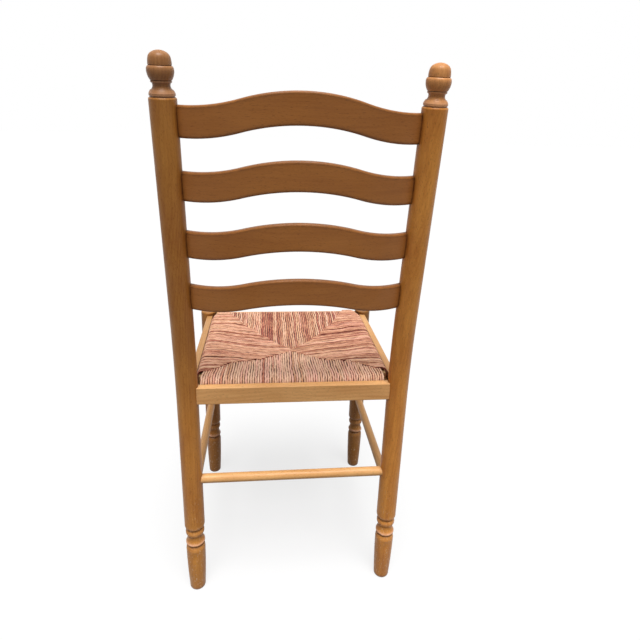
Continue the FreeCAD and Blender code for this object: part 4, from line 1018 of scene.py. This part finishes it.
def floor_material(stage):
    """A floor that looks pale and keeps the chair's shadow, but throws no more light on the chair."""
    material, sheet = new_material("floor")
    colour = sheet.mix(seen_directly(sheet), linear(stage.bounce_colour), linear(stage.floor_colour))
    glow = sheet.math("MULTIPLY", seen_directly(sheet), stage.floor_glow)
    glow = sheet.add("ShaderNodeCombineColor", {"Red": glow, "Green": glow, "Blue": glow}).outputs[0]
    shader = sheet.add("ShaderNodeBsdfPrincipled", {
        "Base Color": colour, "Roughness": 0.9, "Specular IOR Level": 0.0,
        "Emission Color": glow, "Emission Strength": 1.0,
    })
    sheet.add("ShaderNodeOutputMaterial", {"Surface": shader.outputs["BSDF"]})
    return material


FLOOR_REACH = 40.0
OVERHEAD_TOWARDS = (0.02, -0.33, -0.94)


class CHAIR_OT_stage(bpy.types.Operator):
    """Pale floor, even sky, one soft overhead light and the camera"""
    bl_idname = "chair.stage"
    bl_label = "Set stage"

    def execute(self, context):
        stage = context.scene.chair_stage
        corners = [(x * FLOOR_REACH, y * FLOOR_REACH, 0) for x, y in ((-1, -1), (1, -1), (1, 1), (-1, 1))]
        mesh = bpy.data.meshes.new("floor")
        mesh.from_pydata(corners, [], [(0, 1, 2, 3)])
        mesh.materials.append(floor_material(stage))
        floor = bpy.data.objects.new("floor", mesh)
        context.scene.collection.objects.link(floor)
        world = bpy.data.worlds.new("sky")
        world.use_nodes = True
        world.node_tree.nodes.clear()
        sheet = NodeSheet(world.node_tree)
        strength = sheet.math("MAXIMUM", seen_directly(sheet), stage.sky_strength)
        sky = sheet.add("ShaderNodeBackground", {"Color": (1.0, 1.0, 1.0, 1.0), "Strength": strength})
        sheet.add("ShaderNodeOutputWorld", {"Surface": sky.outputs["Background"]})
        context.scene.world = world
        lamp = bpy.data.lights.new("overhead", "SUN")
        lamp.energy = stage.sun_strength
        lamp.angle = stage.sun_spread
        overhead = bpy.data.objects.new("overhead", lamp)
        overhead.rotation_euler = Vector(OVERHEAD_TOWARDS).to_track_quat("-Z", "Y").to_euler()
        context.scene.collection.objects.link(overhead)
        camera()
        context.scene.view_settings.view_transform = "Standard"
        return {"FINISHED"}


class CHAIR_PT_panel(bpy.types.Panel):
    """Steps and settings of the chair"""
    bl_idname = "CHAIR_PT_panel"
    bl_label = "Ladderback Chair"
    bl_space_type = "VIEW_3D"
    bl_region_type = "UI"
    bl_category = "Chair"

    def draw(self, context):
        for operator in OPERATORS:
            self.layout.operator(operator.bl_idname)
        for settings in (context.scene.chair_wood, context.scene.chair_rush, context.scene.chair_stage):
            column = self.layout.column(align=True)
            for name in settings.__annotations__:
                column.prop(settings, name)


OPERATORS = (CHAIR_OT_stage, CHAIR_OT_uprights, CHAIR_OT_finials, CHAIR_OT_slats, CHAIR_OT_rails,
             CHAIR_OT_under_seat, CHAIR_OT_rush_seat)
SETTINGS = {
    "chair_wood": ChairWoodSettings, "chair_rush": ChairRushSettings, "chair_stage": ChairStageSettings,
}


def register():
    for name, settings in SETTINGS.items():
        bpy.utils.register_class(settings)
        setattr(bpy.types.Scene, name, bpy.props.PointerProperty(type=settings))
    for item in (*OPERATORS, CHAIR_PT_panel):
        bpy.utils.register_class(item)


def unregister():
    for item in reversed((*OPERATORS, CHAIR_PT_panel)):
        bpy.utils.unregister_class(item)
    for name, settings in SETTINGS.items():
        delattr(bpy.types.Scene, name)
        bpy.utils.unregister_class(settings)


def main():
    register()
    bpy.ops.chair.stage()
    bpy.ops.chair.uprights()
    bpy.ops.chair.finials()
    bpy.ops.chair.slats()
    bpy.ops.chair.rails()
    bpy.ops.chair.under_seat()
    bpy.ops.chair.rush_seat()


if __name__ == "__main__":
    main()
